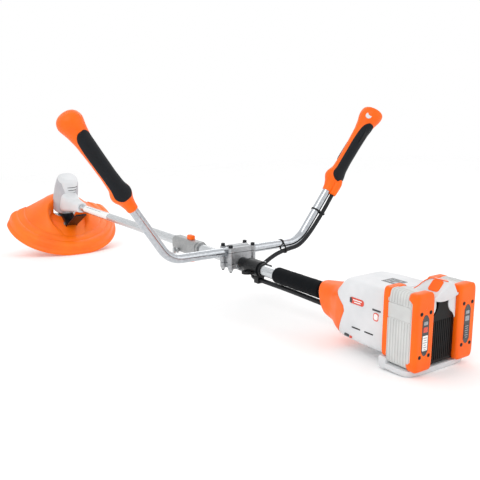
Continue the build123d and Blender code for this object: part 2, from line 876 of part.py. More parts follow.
def control_conduit():
    points = conduit_route()
    radii = bend_radii(points)
    print("conduit radii", [round(r) for r in radii])
    with BuildPart() as conduit:
        with BuildLine() as path:
            FilletPolyline(*points, radius=radii)
        wire = path.wires()[0]
        with BuildSketch(Plane(origin=wire @ 0, z_dir=wire % 0)):
            Circle(CONDUIT_R)
        sweep()
    fill = conduit.part.volume / (pi * CONDUIT_R**2 * wire.length)
    print("conduit length", round(wire.length), "volume against section x length", round(fill, 4))
    save(conduit, "control_conduit")


def tie_loop(plane, bar_at, conduit_at, grow):
    """Solid inside of a strap drawn round the bar and the conduit."""
    with BuildPart() as loop:
        with BuildSketch(plane):
            with Locations(bar_at):
                Circle(BAR_R + TIE_BAR_GAP + grow)
            with Locations(conduit_at):
                Circle(CONDUIT_R + TIE_CONDUIT_GAP + grow)
            make_hull()
        extrude(amount=TIE_HALF_W, both=True)
    return loop.part


def tie_band(plane, bar_at, conduit_at):
    with BuildPart() as band:
        add(tie_loop(plane, bar_at, conduit_at, TIE_T))
        add(tie_loop(plane, bar_at, conduit_at, 0), mode=Mode.SUBTRACT)
    return band.part


def cable_ties():
    points = conduit_route()
    arm_point = (points[1] + points[2]) * 0.5
    plane = grip_plane(1, (arm_point - bar_corner(1)).dot(arm_dir(1)))
    local = plane.to_local_coords(arm_point)
    low = points[5] * 0.55 + points[6] * 0.45
    with BuildPart() as ties:
        add(tie_band(plane, (0, 0), (local.X, local.Y)))
        add(tie_band(side(low.Y), (BAR_X, BAR_Z), (low.X - COLLAR_X, low.Z - BOOM_Z)))
    save(ties, "cable_ties")


def grip_gland():
    """Lobe at the foot of the right grip that the conduit enters."""
    points = conduit_route()
    way = (points[0] - points[1]).normalized()
    lobe = Plane(origin=points[0] - way * GLAND_DEPTH, z_dir=way)
    return disc(lobe, CONDUIT_R + 3.5, 2 * GLAND_DEPTH), disc(lobe, CONDUIT_R + 0.15, GLAND_DEPTH)


def harness_bracket():
    length = BRACKET_TO - BRACKET_FROM
    with BuildPart() as bracket:
        with BuildSketch(across(BRACKET_FROM)):
            Circle(BRACKET_R)
            with Locations((BRACKET_R + 2, 0)):
                RectangleRounded(16, 14, 3)
        extrude(amount=length)
        with BuildSketch(across(BRACKET_TO)):
            Circle(15.5)
        extrude(amount=9)
        with BuildSketch(across(BRACKET_TO - 20)):
            with Locations((0.5, -26)):
                Rectangle(2 * CONDUIT_R + 7, 2 * CONDUIT_R + 5)
        extrude(amount=16)
        with BuildSketch(level(EYE.Z - EYE_T / 2)):
            with Locations((EYE.X, EYE.Y)):
                Circle(EYE_RIM_R)
            with Locations((EYE.X, EYE.Y / 2)):
                Rectangle(2 * EYE_RIM_R + 6, -EYE.Y)
        extrude(amount=EYE_T)
        with BuildSketch(level(EYE.Z - EYE_T)):
            with Locations((EYE.X, EYE.Y)):
                Circle(EYE_R)
        extrude(amount=2 * EYE_T, mode=Mode.SUBTRACT)
        with BuildSketch(across(BRACKET_FROM - 1)):
            Circle(TUBE_R)
            with Locations((20, 0)):
                Rectangle(28, 2)
        extrude(amount=length + 20, mode=Mode.SUBTRACT)
        with BuildSketch(across(BRACKET_TO - 30)):
            with Locations((0.3, -26.4)):
                Circle(CONDUIT_R + 0.5)
        extrude(amount=40, mode=Mode.SUBTRACT)
        with BuildSketch(level(-20, x=(BRACKET_FROM + BRACKET_TO) / 2, y=24)):
            Circle(2.5)
        extrude(amount=40, mode=Mode.SUBTRACT)
    save(bracket, "harness_bracket")


def bracket_screw():
    with BuildPart() as screw:
        with BuildSketch(level(-9, x=(BRACKET_FROM + BRACKET_TO) / 2, y=24)):
            Circle(2.5)
        extrude(amount=16)
        with BuildSketch(level(7, x=(BRACKET_FROM + BRACKET_TO) / 2, y=24)):
            Circle(4.2)
            RegularPolygon(2.2, 6, mode=Mode.SUBTRACT)
        extrude(amount=4)
    save(screw, "bracket_screw")


def foam_grip():
    with BuildPart() as foam:
        add(disc(across(FOAM_FROM), FOAM_R, -FOAM_FROM - 0.3, TUBE_R))
        fillet(foam.edges().filter_by(GeomType.CIRCLE).group_by(Axis.X)[0].sort_by(SortBy.RADIUS)[-1], 4)
    save(foam, "foam_grip")


# =====================================================================
# Powerhead
# =====================================================================


def body_loft(inset, sections):
    with BuildPart() as solid:
        for x, half, low, high, radius in sections:
            with BuildSketch(across(x, z=(low + high) / 2)):
                RectangleRounded(2 * (half - inset), high - low - 2 * inset, radius - inset)
        loft(ruled=True)
    return solid.part


def body_outer():
    return body_loft(0, BODY_SECTIONS)


def body_cavity():
    inner = [(64, 34.4, -50.5, 31.6, 24)] + [
        (x, half, low, high, radius) for x, half, low, high, radius in BODY_SECTIONS[2:-1]
    ] + [(BODY_TO - BODY_WALL, BODY_HALF_W, -55, 64, 12)]
    return body_loft(BODY_WALL, inner)


def front_region():
    with BuildPart() as region:
        with BuildSketch(side(0)):
            with BuildLine():
                Polyline(*BOUNDARY, BOUNDARY[0])
            make_face()
        extrude(amount=100, both=True)
    return region.part


def front_collar():
    with BuildPart() as collar:
        add(body_outer())
        add(front_region(), mode=Mode.INTERSECT)
        with BuildSketch(side(0)):
            with BuildLine():
                Polyline((0, 40), (7, 26), (32, -44), (0, -44), (0, 40))
            make_face()
        extrude(amount=60, both=True, mode=Mode.SUBTRACT)
        add(body_cavity(), mode=Mode.SUBTRACT)
        add(disc(across(0), TUBE_R, 70), mode=Mode.SUBTRACT)
        add(disc(across(0, y=0.4, z=-28.3), CONDUIT_R + 0.6, 34.2), mode=Mode.SUBTRACT)
        add(disc(across(0, y=0.4, z=-28.3), CONDUIT_R - 1.5, 70), mode=Mode.SUBTRACT)
    save(collar, "front_collar")


def hump():
    """Raised ridge between the packs that carries the release buttons."""
    with BuildPart() as ridge:
        with BuildSketch(across(250)):
            with BuildLine():
                Polyline((-26, 58), (26, 58), (26, 66), (3, 89), (-3, 89), (-26, 66), (-26, 58))
            make_face()
        extrude(amount=62)
        with BuildSketch(side(0)):
            with BuildLine():
                Polyline((240, 63), (257, 64), (272, 90), (272, 100), (240, 100), (240, 63))
            make_face()
        extrude(amount=60, both=True, mode=Mode.SUBTRACT)
        with BuildSketch(side(0)):
            with BuildLine():
                Polyline((300, 50), (302, 60), (310.5, 84), (309, 92), (330, 92), (330, 50), (300, 50))
            make_face()
        extrude(amount=60, both=True, mode=Mode.SUBTRACT)
    return ridge.part


def slope_plane(sign, depth=0.0):
    """On the ridge's slope over one pack: sketch x is +X; the plane faces up and outwards."""
    out = Vector(0, sign, 1).normalized()
    middle = Vector(COLLAR_X + RELEASE_X, sign * 12, BOOM_Z + 80)
    return Plane(origin=middle + out * depth, x_dir=(1, 0, 0), z_dir=out)


def release_button(name, sign):
    with BuildPart() as button:
        with BuildSketch(slope_plane(sign, -RELEASE_SINK)):
            RectangleRounded(RELEASE_W, RELEASE_H, 5)
        extrude(amount=5.5)
        fillet(button.faces().sort_by(Axis.Z)[-1].edges(), 1.2)
    save(button, name)


def panel_outline():
    with BuildSketch(across(TOWER_TO - PANEL_T)) as outline:
        with BuildLine():
            half = [(30.5, -54.5), (30.5, 27), (20, 33), (13, 42), (11, 51), (14, 57)]
            Polyline(*half, *[(-y, z) for y, z in reversed(half)], half[0])
        make_face()
    return outline.sketch


def rear_panel():
    outline = panel_outline()
    with BuildPart() as panel:
        extrude(outline, amount=PANEL_T)
    save(panel, "rear_panel")


def ridge_back(z):
    """Station of the ridge's rear face at a height."""
    return 302 + (z - 60) * 8.5 / 24


def led_pins(grow):
    with BuildPart() as pins:
        for y, z in LED_PLACES:
            add(disc(across(ridge_back(z) - 1.5, y, z), LED_R + grow, 2.2))
    return pins.part


def status_leds():
    with BuildPart() as leds:
        add(led_pins(0))
    save(leds, "status_leds")


def housing(name, keep):
    """Half of the powerhead's shell with its share of the tower, the ridge and a pack's rail."""
    outline = panel_outline()
    with BuildPart() as shell:
        add(body_outer())
        with BuildSketch(across(BODY_TO - 1, z=4)):
            RectangleRounded(2 * TOWER_HALF_W, 120, 3)
        extrude(amount=TOWER_TO - BODY_TO + 1)
        with BuildSketch(across(RAIL_X - RAIL_W / 2, z=2)):
            Rectangle(2 * (TOWER_HALF_W + RAIL_H), 104)
        extrude(amount=RAIL_W)
        add(hump())
        add(front_region(), mode=Mode.SUBTRACT)
        add(body_cavity(), mode=Mode.SUBTRACT)
        with BuildSketch(across(BODY_TO - BODY_WALL - 1, z=4)):
            RectangleRounded(2 * (TOWER_HALF_W - BODY_WALL), 114, 2)
        extrude(amount=TOWER_TO - PANEL_T - BODY_TO + BODY_WALL + 1, mode=Mode.SUBTRACT)
        extrude(outline, amount=PANEL_T + 1, mode=Mode.SUBTRACT)
        for sign in (-1, 1):
            with BuildSketch(slope_plane(sign, -RELEASE_SINK - RELEASE_TRAVEL - GAP)):
                RectangleRounded(RELEASE_W + 2 * GAP, RELEASE_H + 2 * GAP, 5.4)
            extrude(amount=20, mode=Mode.SUBTRACT)
        with BuildSketch(level(61.5, x=194, y=-3.5)):
            RectangleRounded(37, 32, 2)
        extrude(amount=5, mode=Mode.SUBTRACT)
        for x in (158, 190):
            with BuildSketch(side(0, x=x, z=-24)):
                SlotOverall(22, 3)
            extrude(amount=80, both=True, mode=Mode.SUBTRACT)
        add(led_pins(0.02), mode=Mode.SUBTRACT)
        split(bisect_by=Plane.XZ, keep=keep)
    save(shell, name)


def display_panel():
    with BuildPart() as panel:
        with BuildSketch(level(61.6, x=194, y=-3.5)):
            RectangleRounded(36.6, 31.6, 1.8)
        extrude(amount=2.6)
    save(panel, "display_panel")


def controller_board():
    """Motor controller on its finned heat sink."""
    with BuildPart() as board:
        with BuildSketch(level(-46, x=172)):
            Rectangle(86, 76)
        extrude(amount=5)
        with BuildSketch(level(-41, x=172)):
            with GridLocations(0, 9, 1, 8):
                Rectangle(80, 2)
        extrude(amount=9)
        with BuildSketch(level(-32, x=172)):
            Rectangle(84, 74)
        extrude(amount=2)
        with BuildSketch(level(-30, x=150)):
            with GridLocations(18, 18, 3, 3):
                Circle(5)
        extrude(amount=14)
    save(board, "controller_board")


def base_tray():
    """White floor under the packs, with the foot that the powerhead stands on."""
    with BuildPart() as tray:
        with BuildSketch(level(TRAY_TOP - 6, x=268)):
            RectangleRounded(70, 2 * PACK_OUT + 2, 12)
        extrude(amount=6)
        with BuildSketch(level(TRAY_TOP - 15, x=262)):
            RectangleRounded(74, 58, 6)
        extrude(amount=16)
        with BuildSketch(level(-56.1, x=268)):
            Rectangle(64, 2 * TOWER_HALF_W - 2)
        extrude(amount=TRAY_TOP + 56.1)
    save(tray, "base_tray")


# =====================================================================
# Battery packs
# =====================================================================
def pack_box(sign, x_from, x_to, inset, radius):
    with BuildPart() as box:
        with BuildSketch(across(x_from, sign * PACK_MIDDLE, PACK_MIDDLE_Z)):
            RectangleRounded(PACK_OUT - PACK_IN - 2 * inset, PACK_TOP - PACK_BOTTOM - 2 * inset, radius)
        extrude(amount=x_to - x_from)
    return box.part


def pack_case_solid(sign, grow=0.0):
    return pack_box(sign, PACK_FROM + 3 - grow, PACK_TO - 6 + grow, 1.0 - grow, 7)


def cell_places(sign):
    """Three by two cells in each of two layers."""
    middle = sign * (CELL_IN + CELL_OUT) / 2
    steps = [(i, j) for i in (-1, 0, 1) for j in (-0.5, 0.5)]
    return [(COLLAR_X + CELL_X + CELL_PITCH_X * i, middle + CELL_PITCH_Y * j) for i, j in steps]


def pack_case(name, sign):
    with BuildPart() as case:
        add(pack_case_solid(sign))
        with BuildSketch(across(PACK_FROM + 5, sign * (CELL_IN + CELL_OUT) / 2, PACK_MIDDLE_Z)):
            Rectangle(CELL_OUT - CELL_IN, PACK_TOP - PACK_BOTTOM - 5)
        extrude(amount=PACK_TO - PACK_FROM - 13, mode=Mode.SUBTRACT)
        rail_middle = sign * (TOWER_HALF_W + RAIL_H / 2 + GAP / 2)
        with BuildSketch(across(RAIL_X - RAIL_W / 2 - GAP, rail_middle, 0)):
            Rectangle(RAIL_H + GAP, 200)
        extrude(amount=RAIL_W + 2 * GAP, mode=Mode.SUBTRACT)
        with BuildSketch(side(sign * (PACK_OUT - 1), x=0, z=-10)):
            with Locations((269.5, 0)):
                with GridLocations(8, 0, 7, 1):
                    SlotOverall(82, 3, rotation=90)
        extrude(amount=0.6, both=True, mode=Mode.SUBTRACT)
    save(case, name)


def pack_bumper(name, sign, x_from, x_to):
    with BuildPart() as bumper:
        add(pack_box(sign, x_from, x_to, 0, 8))
        end = x_to > PACK_TO - 1
        rim = bumper.faces().sort_by(Axis.X)[-1 if end else 0].edges()
        chamfer(rim, 3.5 if end else 2)
        add(pack_case_solid(sign), mode=Mode.SUBTRACT)
        if end:
            add(pack_screw_holes(sign), mode=Mode.SUBTRACT)
            with BuildSketch(across(PACK_TO - 1.5, sign * PACK_MIDDLE, 7)):
                SlotOverall(62, 14, rotation=90)
            extrude(amount=3, mode=Mode.SUBTRACT)
    save(bumper, name)


def pack_screw_holes(sign):
    with BuildPart() as holes:
        for y in PACK_SCREW_Y:
            for z in PACK_SCREW_Z:
                add(disc(across(PACK_TO - 2.5, sign * y, z), 3.0, 4))
    return holes.part


def pack_cells(name, sign):
    with BuildPart() as cells:
        for bottom in (PACK_BOTTOM + 2.7, PACK_BOTTOM + 66.7):
            with BuildSketch(Plane.XY.offset(BOOM_Z + bottom)):
                with Locations(*cell_places(sign)):
                    Circle(CELL_R)
            extrude(amount=CELL_LONG)
    save(cells, name)


# ---- call order ----
def build():
    head_housing("head_housing_left", Keep.BOTTOM)
    head_housing("head_housing_right", Keep.TOP)
    motor_stator()
    motor_rotor()
    spindle()
    spindle_bearings()
    head_flange()
    guard_bracket()
    guard_shield()
    guard_bolts()
    drive_flange()
    cutting_blade()
    blade_washer()
    blade_cup()
    blade_nut()
    boom_tube("front_tube", FRONT_TUBE_FROM, BOOM_SPLIT)
    boom_tube("rear_tube", BOOM_SPLIT + SPLIT_GAP, REAR_TUBE_TO)
    motor_lead()
    coupler_body()
    wing_bolt()
    coupler_pin()
    coupler_cap()
    tube_sleeve()
    clamp_block("clamp_base", CLAMP_FOOT, -CLAMP_GAP / 2, bulge_low=1)
    clamp_block("clamp_body", CLAMP_GAP / 2, BAR_Z - CLAMP_GAP / 2)
    clamp_block("clamp_cap", BAR_Z + CLAMP_GAP / 2, CLAMP_TOP, bulge_high=1)
    clamp_bolts()
    clamp_nuts()
    handlebar()
    left_grip()
    grip_pad("left_grip_pad", -1)
    right_grip()
    grip_pad("right_grip_pad", 1)
    throttle_trigger()
    lockoff_lever()
    pivot_pins()
    power_button()
    control_conduit()
    cable_ties()
    harness_bracket()
    bracket_screw()
    foam_grip()
    front_collar()
    housing("housing_left", Keep.BOTTOM)
    housing("housing_right", Keep.TOP)
    rear_panel()
    display_panel()
    status_leds()
    controller_board()
    base_tray()
    for word, sign in (("left", -1), ("right", 1)):
        release_button(f"{word}_release_button", sign)
        pack_case(f"{word}_pack_case", sign)
        pack_bumper(f"{word}_pack_front_bumper", sign, PACK_FROM, PACK_FROM + FRONT_BUMPER_T)
        pack_bumper(f"{word}_pack_rear_bumper", sign, PACK_TO - REAR_BUMPER_T, PACK_TO)
        pack_cells(f"{word}_pack_cells", sign)


build()
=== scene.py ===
import json

import bmesh
import bpy
import numpy as np
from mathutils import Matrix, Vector

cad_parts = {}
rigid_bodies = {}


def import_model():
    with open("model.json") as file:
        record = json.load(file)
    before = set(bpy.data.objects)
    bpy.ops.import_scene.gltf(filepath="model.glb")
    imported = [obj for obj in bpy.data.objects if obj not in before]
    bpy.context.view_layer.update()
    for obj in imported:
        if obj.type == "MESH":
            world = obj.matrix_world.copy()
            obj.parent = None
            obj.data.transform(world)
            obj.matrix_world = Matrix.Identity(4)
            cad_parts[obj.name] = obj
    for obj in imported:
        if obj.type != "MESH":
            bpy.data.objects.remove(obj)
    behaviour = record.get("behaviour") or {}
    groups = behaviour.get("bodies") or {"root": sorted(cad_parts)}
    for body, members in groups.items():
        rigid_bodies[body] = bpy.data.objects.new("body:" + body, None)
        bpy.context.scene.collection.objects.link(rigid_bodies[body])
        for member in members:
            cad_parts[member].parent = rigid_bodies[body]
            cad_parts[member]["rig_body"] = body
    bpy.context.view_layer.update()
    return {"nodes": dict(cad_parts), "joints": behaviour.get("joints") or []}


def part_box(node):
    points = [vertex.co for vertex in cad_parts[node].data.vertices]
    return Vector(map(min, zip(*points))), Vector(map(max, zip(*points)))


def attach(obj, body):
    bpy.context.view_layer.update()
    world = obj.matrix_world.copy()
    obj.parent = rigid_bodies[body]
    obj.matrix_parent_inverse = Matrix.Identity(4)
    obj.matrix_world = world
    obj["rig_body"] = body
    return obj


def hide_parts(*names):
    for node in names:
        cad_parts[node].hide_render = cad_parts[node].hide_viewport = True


# Battery brush cutter: the looks of its pieces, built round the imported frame.
# Lengths are in millimetres along the boom's own frame unless a name says otherwise:
# x back along the boom from the powerhead's collar, y to the operator's right, z above the boom's axis.

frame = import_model()
JOINTS = {joint["name"]: joint for joint in frame["joints"]}
MM = 0.001

# ---- where the frame puts things ----
TUBE_IN_COLLAR = 60.0
tube_low, tube_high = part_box("rear_tube")
COLLAR_X = tube_high.x / MM - TUBE_IN_COLLAR
BOOM_Z = (tube_low.z + tube_high.z) / 2 / MM
TUBE_R = (tube_high.z - tube_low.z) / 2 / MM
TRAY_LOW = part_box("base_tray")[0]


def at(x, y, z):
    """Points of the boom's frame, in metres."""
    x, y, z = np.broadcast_arrays(np.asarray(x, float), y, z)
    return np.stack([COLLAR_X + x, y, BOOM_Z + z], -1) * MM


# ---- the cutter head's own frame ----
HEAD_O = np.array(JOINTS["cutter_spin"]["pos_m"])
SPIN = np.array(JOINTS["cutter_spin"]["axis"])
SPIN = SPIN / np.linalg.norm(SPIN)
AFT = np.array([SPIN[2], 0.0, -SPIN[0]])
BACK = np.array([1.0, 0.0, 0.0])
RIGHT = np.array([0.0, 1.0, 0.0])
UP = np.array([0.0, 0.0, 1.0])
SIDES = ((-1, "left"), (1, "right"))


def at_head(radius, angle, height):
    """Points about the spindle: angle from aft towards the right in degrees, height along the spindle."""
    turn = np.radians(angle)
    aft = (radius * np.cos(turn))[..., None] * AFT
    right = (radius * np.sin(turn))[..., None] * RIGHT
    return HEAD_O + (aft + right + np.asarray(height)[..., None] * SPIN) * MM


# ---- the arms of the handlebar ----
BAR_X = -313.0  # the straight middle crosses the boom here
BAR_Z = 28.0
BAR_R = 11.0
BAR_HALF = 187.8  # from the boom out to the corner where an arm starts
ARM = np.array([0.040, 0.582, 0.812])
ARM = ARM / np.linalg.norm(ARM)


def at_arm(sign, along, aft, inward):
    """Points about one arm: along it from the bar's corner, aft of its axis, and inward."""
    arm = ARM * np.array([1, sign, 1])
    back = np.array([1.0, 0, 0]) - arm * arm[0]
    back = back / np.linalg.norm(back)
    side = np.cross(back, arm) * sign
    corner = at(BAR_X, sign * BAR_HALF, BAR_Z)
    along, aft, inward = np.broadcast_arrays(along, aft, inward)
    return corner + (along[..., None] * arm + aft[..., None] * back + inward[..., None] * side) * MM


# =====================================================================
# Shapes
# =====================================================================
MERGE_M = 0.00002  # points nearer than this become one
CAD_MERGE_M = 0.000004  # the same for a made part's mesh
SLAB_POINTS = 40


def eased(x, stations, values, reach):
    """Straight runs between stations, averaged over plus and minus reach, so corners come out round."""
    offsets = np.linspace(-reach, reach, 9)
    return np.mean([np.interp(x + offset, stations, values) for offset in offsets], axis=0)


def step(x, low, high):
    """0 below low, 1 above high, and a smooth rise between."""
    t = np.clip((x - low) / (high - low), 0, 1)
    return t * t * (3 - 2 * t)


def spread(start, end, count):
    """Evenly spaced values, both ends among them."""
    return np.linspace(start, end, count)


def quads(points, wrap_u, wrap_v):
    """Corner numbers of the quads over a grid of rows u and columns v."""
    rows, columns = points.shape[:2]
    index = np.arange(rows * columns).reshape(rows, columns)
    u = np.arange(rows if wrap_u else rows - 1)[:, None]
    v = np.arange(columns if wrap_v else columns - 1)[None, :]
    next_u, next_v = (u + 1) % rows, (v + 1) % columns
    corners = [index[u, v], index[next_u, v], index[next_u, next_v], index[u, next_v]]
    return np.stack(np.broadcast_arrays(*corners), -1).reshape(-1, 4)


def tidy(mesh, inside=None):
    """Merges coincident points, closes poles and turns the faces outward, away from the inside point."""
    work = bmesh.new()
    work.from_mesh(mesh)
    bmesh.ops.remove_doubles(work, verts=work.verts, dist=MERGE_M)
    bmesh.ops.dissolve_degenerate(work, edges=work.edges, dist=MERGE_M / 10)
    bmesh.ops.recalc_face_normals(work, faces=work.faces)
    if inside is not None:
        middle = Vector(inside)
        ways = [(face.calc_center_median() - middle).dot(face.normal) for face in work.faces]
        areas = [face.calc_area() for face in work.faces]
        if np.dot(ways, areas) < 0:
            bmesh.ops.reverse_faces(work, faces=work.faces)
    work.to_mesh(mesh)
    work.free()


def settle(thing, body, finish, replaces=()):
    """Gives a piece its finish, its body and the made parts that it stands for."""
    thing.data.materials.clear()
    thing.data.materials.append(FINISH[finish])
    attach(thing, body)
    if replaces:
        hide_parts(*replaces)
    return thing


def piece(name, grids, body, finish, replaces=(), inside=None, wall=0.0, corner=38.0):
    """One piece from grids of points, each (points, wraps along u, wraps along v)."""
    corners, faces, count = [], [], 0
    for points, wrap_u, wrap_v in grids:
        faces.append(quads(points, wrap_u, wrap_v) + count)
        corners.append(points.reshape(-1, 3))
        count += len(corners[-1])
    mesh = bpy.data.meshes.new(name)
    mesh.from_pydata(np.concatenate(corners).tolist(), [], np.concatenate(faces).tolist())
    tidy(mesh, inside)
    mesh.shade_smooth()
    mesh.set_sharp_from_angle(angle=np.radians(corner))
    thing = bpy.data.objects.new(name, mesh)
    bpy.context.scene.collection.objects.link(thing)
    if wall:
        solid = thing.modifiers.new("wall", "SOLIDIFY")
        solid.thickness = wall * MM
        solid.offset = -1
        solid.use_even_offset = False
    return settle(thing, body, finish, replaces)


def soften(thing, width):
    """Rounds the piece's sharp edges by width millimetres."""
    edge = thing.modifiers.new("edge", "BEVEL")
    edge.width = width * MM
    edge.segments = 2
    edge.limit_method = "ANGLE"
    edge.angle_limit = np.radians(38.0)
    edge.harden_normals = False


def refined(part, finish, slot, bevel):
    """A copy of a made part with its triangles joined to faces and its edges broken, in its place."""
    source = frame["nodes"][part]
    mesh = source.data.copy()
    mesh.name = part + "_finished"
    work = bmesh.new()
    work.from_mesh(mesh)
    bmesh.ops.remove_doubles(work, verts=work.verts, dist=CAD_MERGE_M)
    bmesh.ops.dissolve_limit(work, angle_limit=np.radians(0.5), verts=work.verts, edges=work.edges)
    bmesh.ops.recalc_face_normals(work, faces=work.faces)
    work.to_mesh(mesh)
    work.free()
    mesh.shade_smooth()
    mesh.set_sharp_from_angle(angle=np.radians(30))
    thing = bpy.data.objects.new(part + "_finished", mesh)
    bpy.context.scene.collection.objects.link(thing)
    soften(thing, bevel)
    return settle(thing, source["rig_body"], finish, (part,))


def plain(part, finish):
    """A made part whose shape is right keeps its mesh and takes its finish."""
    mesh = frame["nodes"][part].data
    mesh.materials.clear()
    mesh.materials.append(FINISH[finish])


def superellipse(half_w, low, high, power, count):
    """Ring |y/a|^p + |z/b|^p = 1, its points evenly spaced along it from the bottom middle."""
    turn = spread(-np.pi / 2, 1.5 * np.pi, 1441)
    c, s = np.cos(turn), np.sin(turn)
    y = half_w * np.sign(c) * np.abs(c) ** (2 / power)
    z = (low + high) / 2 + (high - low) / 2 * np.sign(s) * np.abs(s) ** (2 / power)
    run = np.concatenate([[0], np.cumsum(np.hypot(np.diff(y), np.diff(z)))])
    even = spread(0, run[-1], count + 1)[:-1]
    return np.stack([np.interp(even, run, y), np.interp(even, run, z)], -1)


def turned(centre, axis, profile, count=32):
    """Grid of a profile of (radius, height) turned about an axis, all in metres."""
    axis = np.asarray(axis, float) / np.linalg.norm(axis)
    helper = np.array([1.0, 0, 0]) if abs(axis[0]) < 0.9 else np.array([0, 1.0, 0])
    one = np.cross(axis, helper)
    one = one / np.linalg.norm(one)
    two = np.cross(axis, one)
    turn = spread(0, 2 * np.pi, count + 1)[:-1]
    ring = np.cos(turn)[:, None] * one + np.sin(turn)[:, None] * two
    profile = np.asarray(profile, float)
    return np.asarray(centre) + profile[:, None, :1] * ring + profile[:, None, 1:] * axis


def slab(centre, right, up, out, size, radius):
    """Plate with round corners: a ring of its outline carried out by its depth, with a broken edge."""
    width, height, depth = size
    half_w, half_h = width / 2, height / 2
    radius = min(radius, half_w, half_h)
    turn = spread(0, 2 * np.pi, SLAB_POINTS + 1)[:-1] + np.pi / SLAB_POINTS
    c, s = np.cos(turn), np.sin(turn)
    px = np.sign(c) * (half_w - radius) + radius * c
    py = np.sign(s) * (half_h - radius) + radius * s
    edge = min(0.25 * depth, 0.3 * radius)
    rows = [(0.0, 0.0), (1.0, 0.0), (1.0, depth - edge), (1 - edge / half_h, depth), (0.0, depth)]
    levels = [np.stack([px * share, py * share, np.full(SLAB_POINTS, away)], -1) for share, away in rows]
    grid = np.array(levels)
    return np.asarray(centre) + grid @ np.array([right, up, out], float) * MM


def plate(name, centre, right, out, size, finish, radius, body="machine"):
    """One upright plate with round corners; size is its width, height and depth."""
    grid = slab(at(*centre), right, UP, out, size, radius)
    piece(name, [(grid, False, True)], body, finish)


# =====================================================================
# Finishes
# =====================================================================
def linear(colour):
    """Linear colour of an sRGB hex value."""
    value = np.array([int(colour[i:i + 2], 16) for i in (1, 3, 5)]) / 255
    value = np.where(value <= 0.04045, value / 12.92, ((value + 0.055) / 1.055) ** 2.4)
    return (*value.tolist(), 1.0)


def node(tree, kind, values=None, links=None, **settings):
    """One shader node with its settings, its values and its links."""
    made = tree.nodes.new("ShaderNode" + kind)
    for key, value in settings.items():
        setattr(made, key, value)
    for key, value in (values or {}).items():
        made.inputs[key].default_value = value
    for key, socket in (links or {}).items():
        tree.links.new(socket, made.inputs[key])
    return made


def blank(name, values):
    """A new material with its tree, its shader and the piece's own coordinates."""
    material = bpy.data.materials.new(name)
    material.use_nodes = True
    tree = material.node_tree
    shader = tree.nodes["Principled BSDF"]
    for key, value in values.items():
        shader.inputs[key].default_value = value
    place = node(tree, "TexCoord").outputs["Object"]
    return material, tree, shader, place


def noise(tree, place, size, detail=2.0, rough=0.5, stretch=None):
    """Noise whose features are about size millimetres, stretched along the axes where asked."""
    if stretch:
        place = node(tree, "Mapping", {"Scale": stretch}, {"Vector": place}).outputs["Vector"]
    values = {"Scale": 1 / (size * MM), "Detail": detail, "Roughness": rough}
    return node(tree, "TexNoise", values, {"Vector": place}).outputs["Fac"]


def coloured(tree, shader, factor, *stops):
    """Base colour between two stops, each a place and a hex colour, as the factor climbs."""
    ramp = node(tree, "ValToRGB", links={"Fac": factor})
    for element, (place, colour) in zip(ramp.color_ramp.elements, stops):
        element.position = place
        element.color = linear(colour)
    tree.links.new(ramp.outputs["Color"], shader.inputs["Base Color"])


def roughened(tree, shader, factor, low, high):
    """Roughness from low to high while the factor climbs from 0.3 to 0.7."""
    values = {"From Min": 0.3, "From Max": 0.7, "To Min": low, "To Max": high}
    spots = node(tree, "MapRange", values, {"Value": factor})
    tree.links.new(spots.outputs["Result"], shader.inputs["Roughness"])


def relief(tree, shader, height, depth, strength):
    """Bump of a height field whose full swing is depth millimetres."""
    bump = node(tree, "Bump", {"Strength": strength, "Distance": depth * MM}, {"Height": height})
    tree.links.new(bump.outputs["Normal"], shader.inputs["Normal"])


def moulded(name, light, dark, roughness, specular=0.3):
    """Injection-moulded plastic: spark-eroded grain, slow flow marks and patches polished by hands."""
    material, tree, shader, place = blank(name, {"IOR": 1.49, "Specular IOR Level": specular})
    flow_marks = noise(tree, place, 55.0, 3.0, 0.55)
    coloured(tree, shader, flow_marks, (0.35, dark), (0.65, light))
    patches = noise(tree, place, 18.0, 4.0, 0.6)
    roughened(tree, shader, patches, roughness - 0.05, roughness + 0.07)
    # the eroded grain is drawn at 0.7 mm, several times its real size, so that it shows
    relief(tree, shader, noise(tree, place, 0.7, 3.0, 0.6), 0.03, 0.5)
    return material


def guard_plastic():
    """Polypropylene of the guard: glossier, with long scuffs from grass and stones."""
    material, tree, shader, place = blank("guard_polypropylene", {"IOR": 1.49, "Specular IOR Level": 0.4})
    flow_marks = noise(tree, place, 70.0, 3.0, 0.5)
    coloured(tree, shader, flow_marks, (0.3, "#F86804"), (0.7, "#FF760A"))
    scuffs = noise(tree, place, 6.0, 5.0, 0.7, (0.25, 1.0, 1.0))
    roughened(tree, shader, scuffs, 0.30, 0.46)
    relief(tree, shader, noise(tree, place, 0.9, 3.0, 0.6), 0.03, 0.5)
    return material


def soft_rubber():
    """Thermoplastic rubber of the inserts: matt, with a sheen and a pattern of small dimples."""
    values = {"IOR": 1.52, "Specular IOR Level": 0.22}
    material, tree, shader, place = blank("soft_rubber", values)
    dust = noise(tree, place, 9.0, 4.0, 0.6)
    coloured(tree, shader, dust, (0.35, "#080B10"), (0.75, "#10151B"))
    roughened(tree, shader, dust, 0.46, 0.62)
    dimples = node(tree, "TexVoronoi", {"Scale": 1 / (2.2 * MM)}, {"Vector": place}, feature="SMOOTH_F1")
    relief(tree, shader, dimples.outputs["Distance"], 0.25, 0.45)
    return material


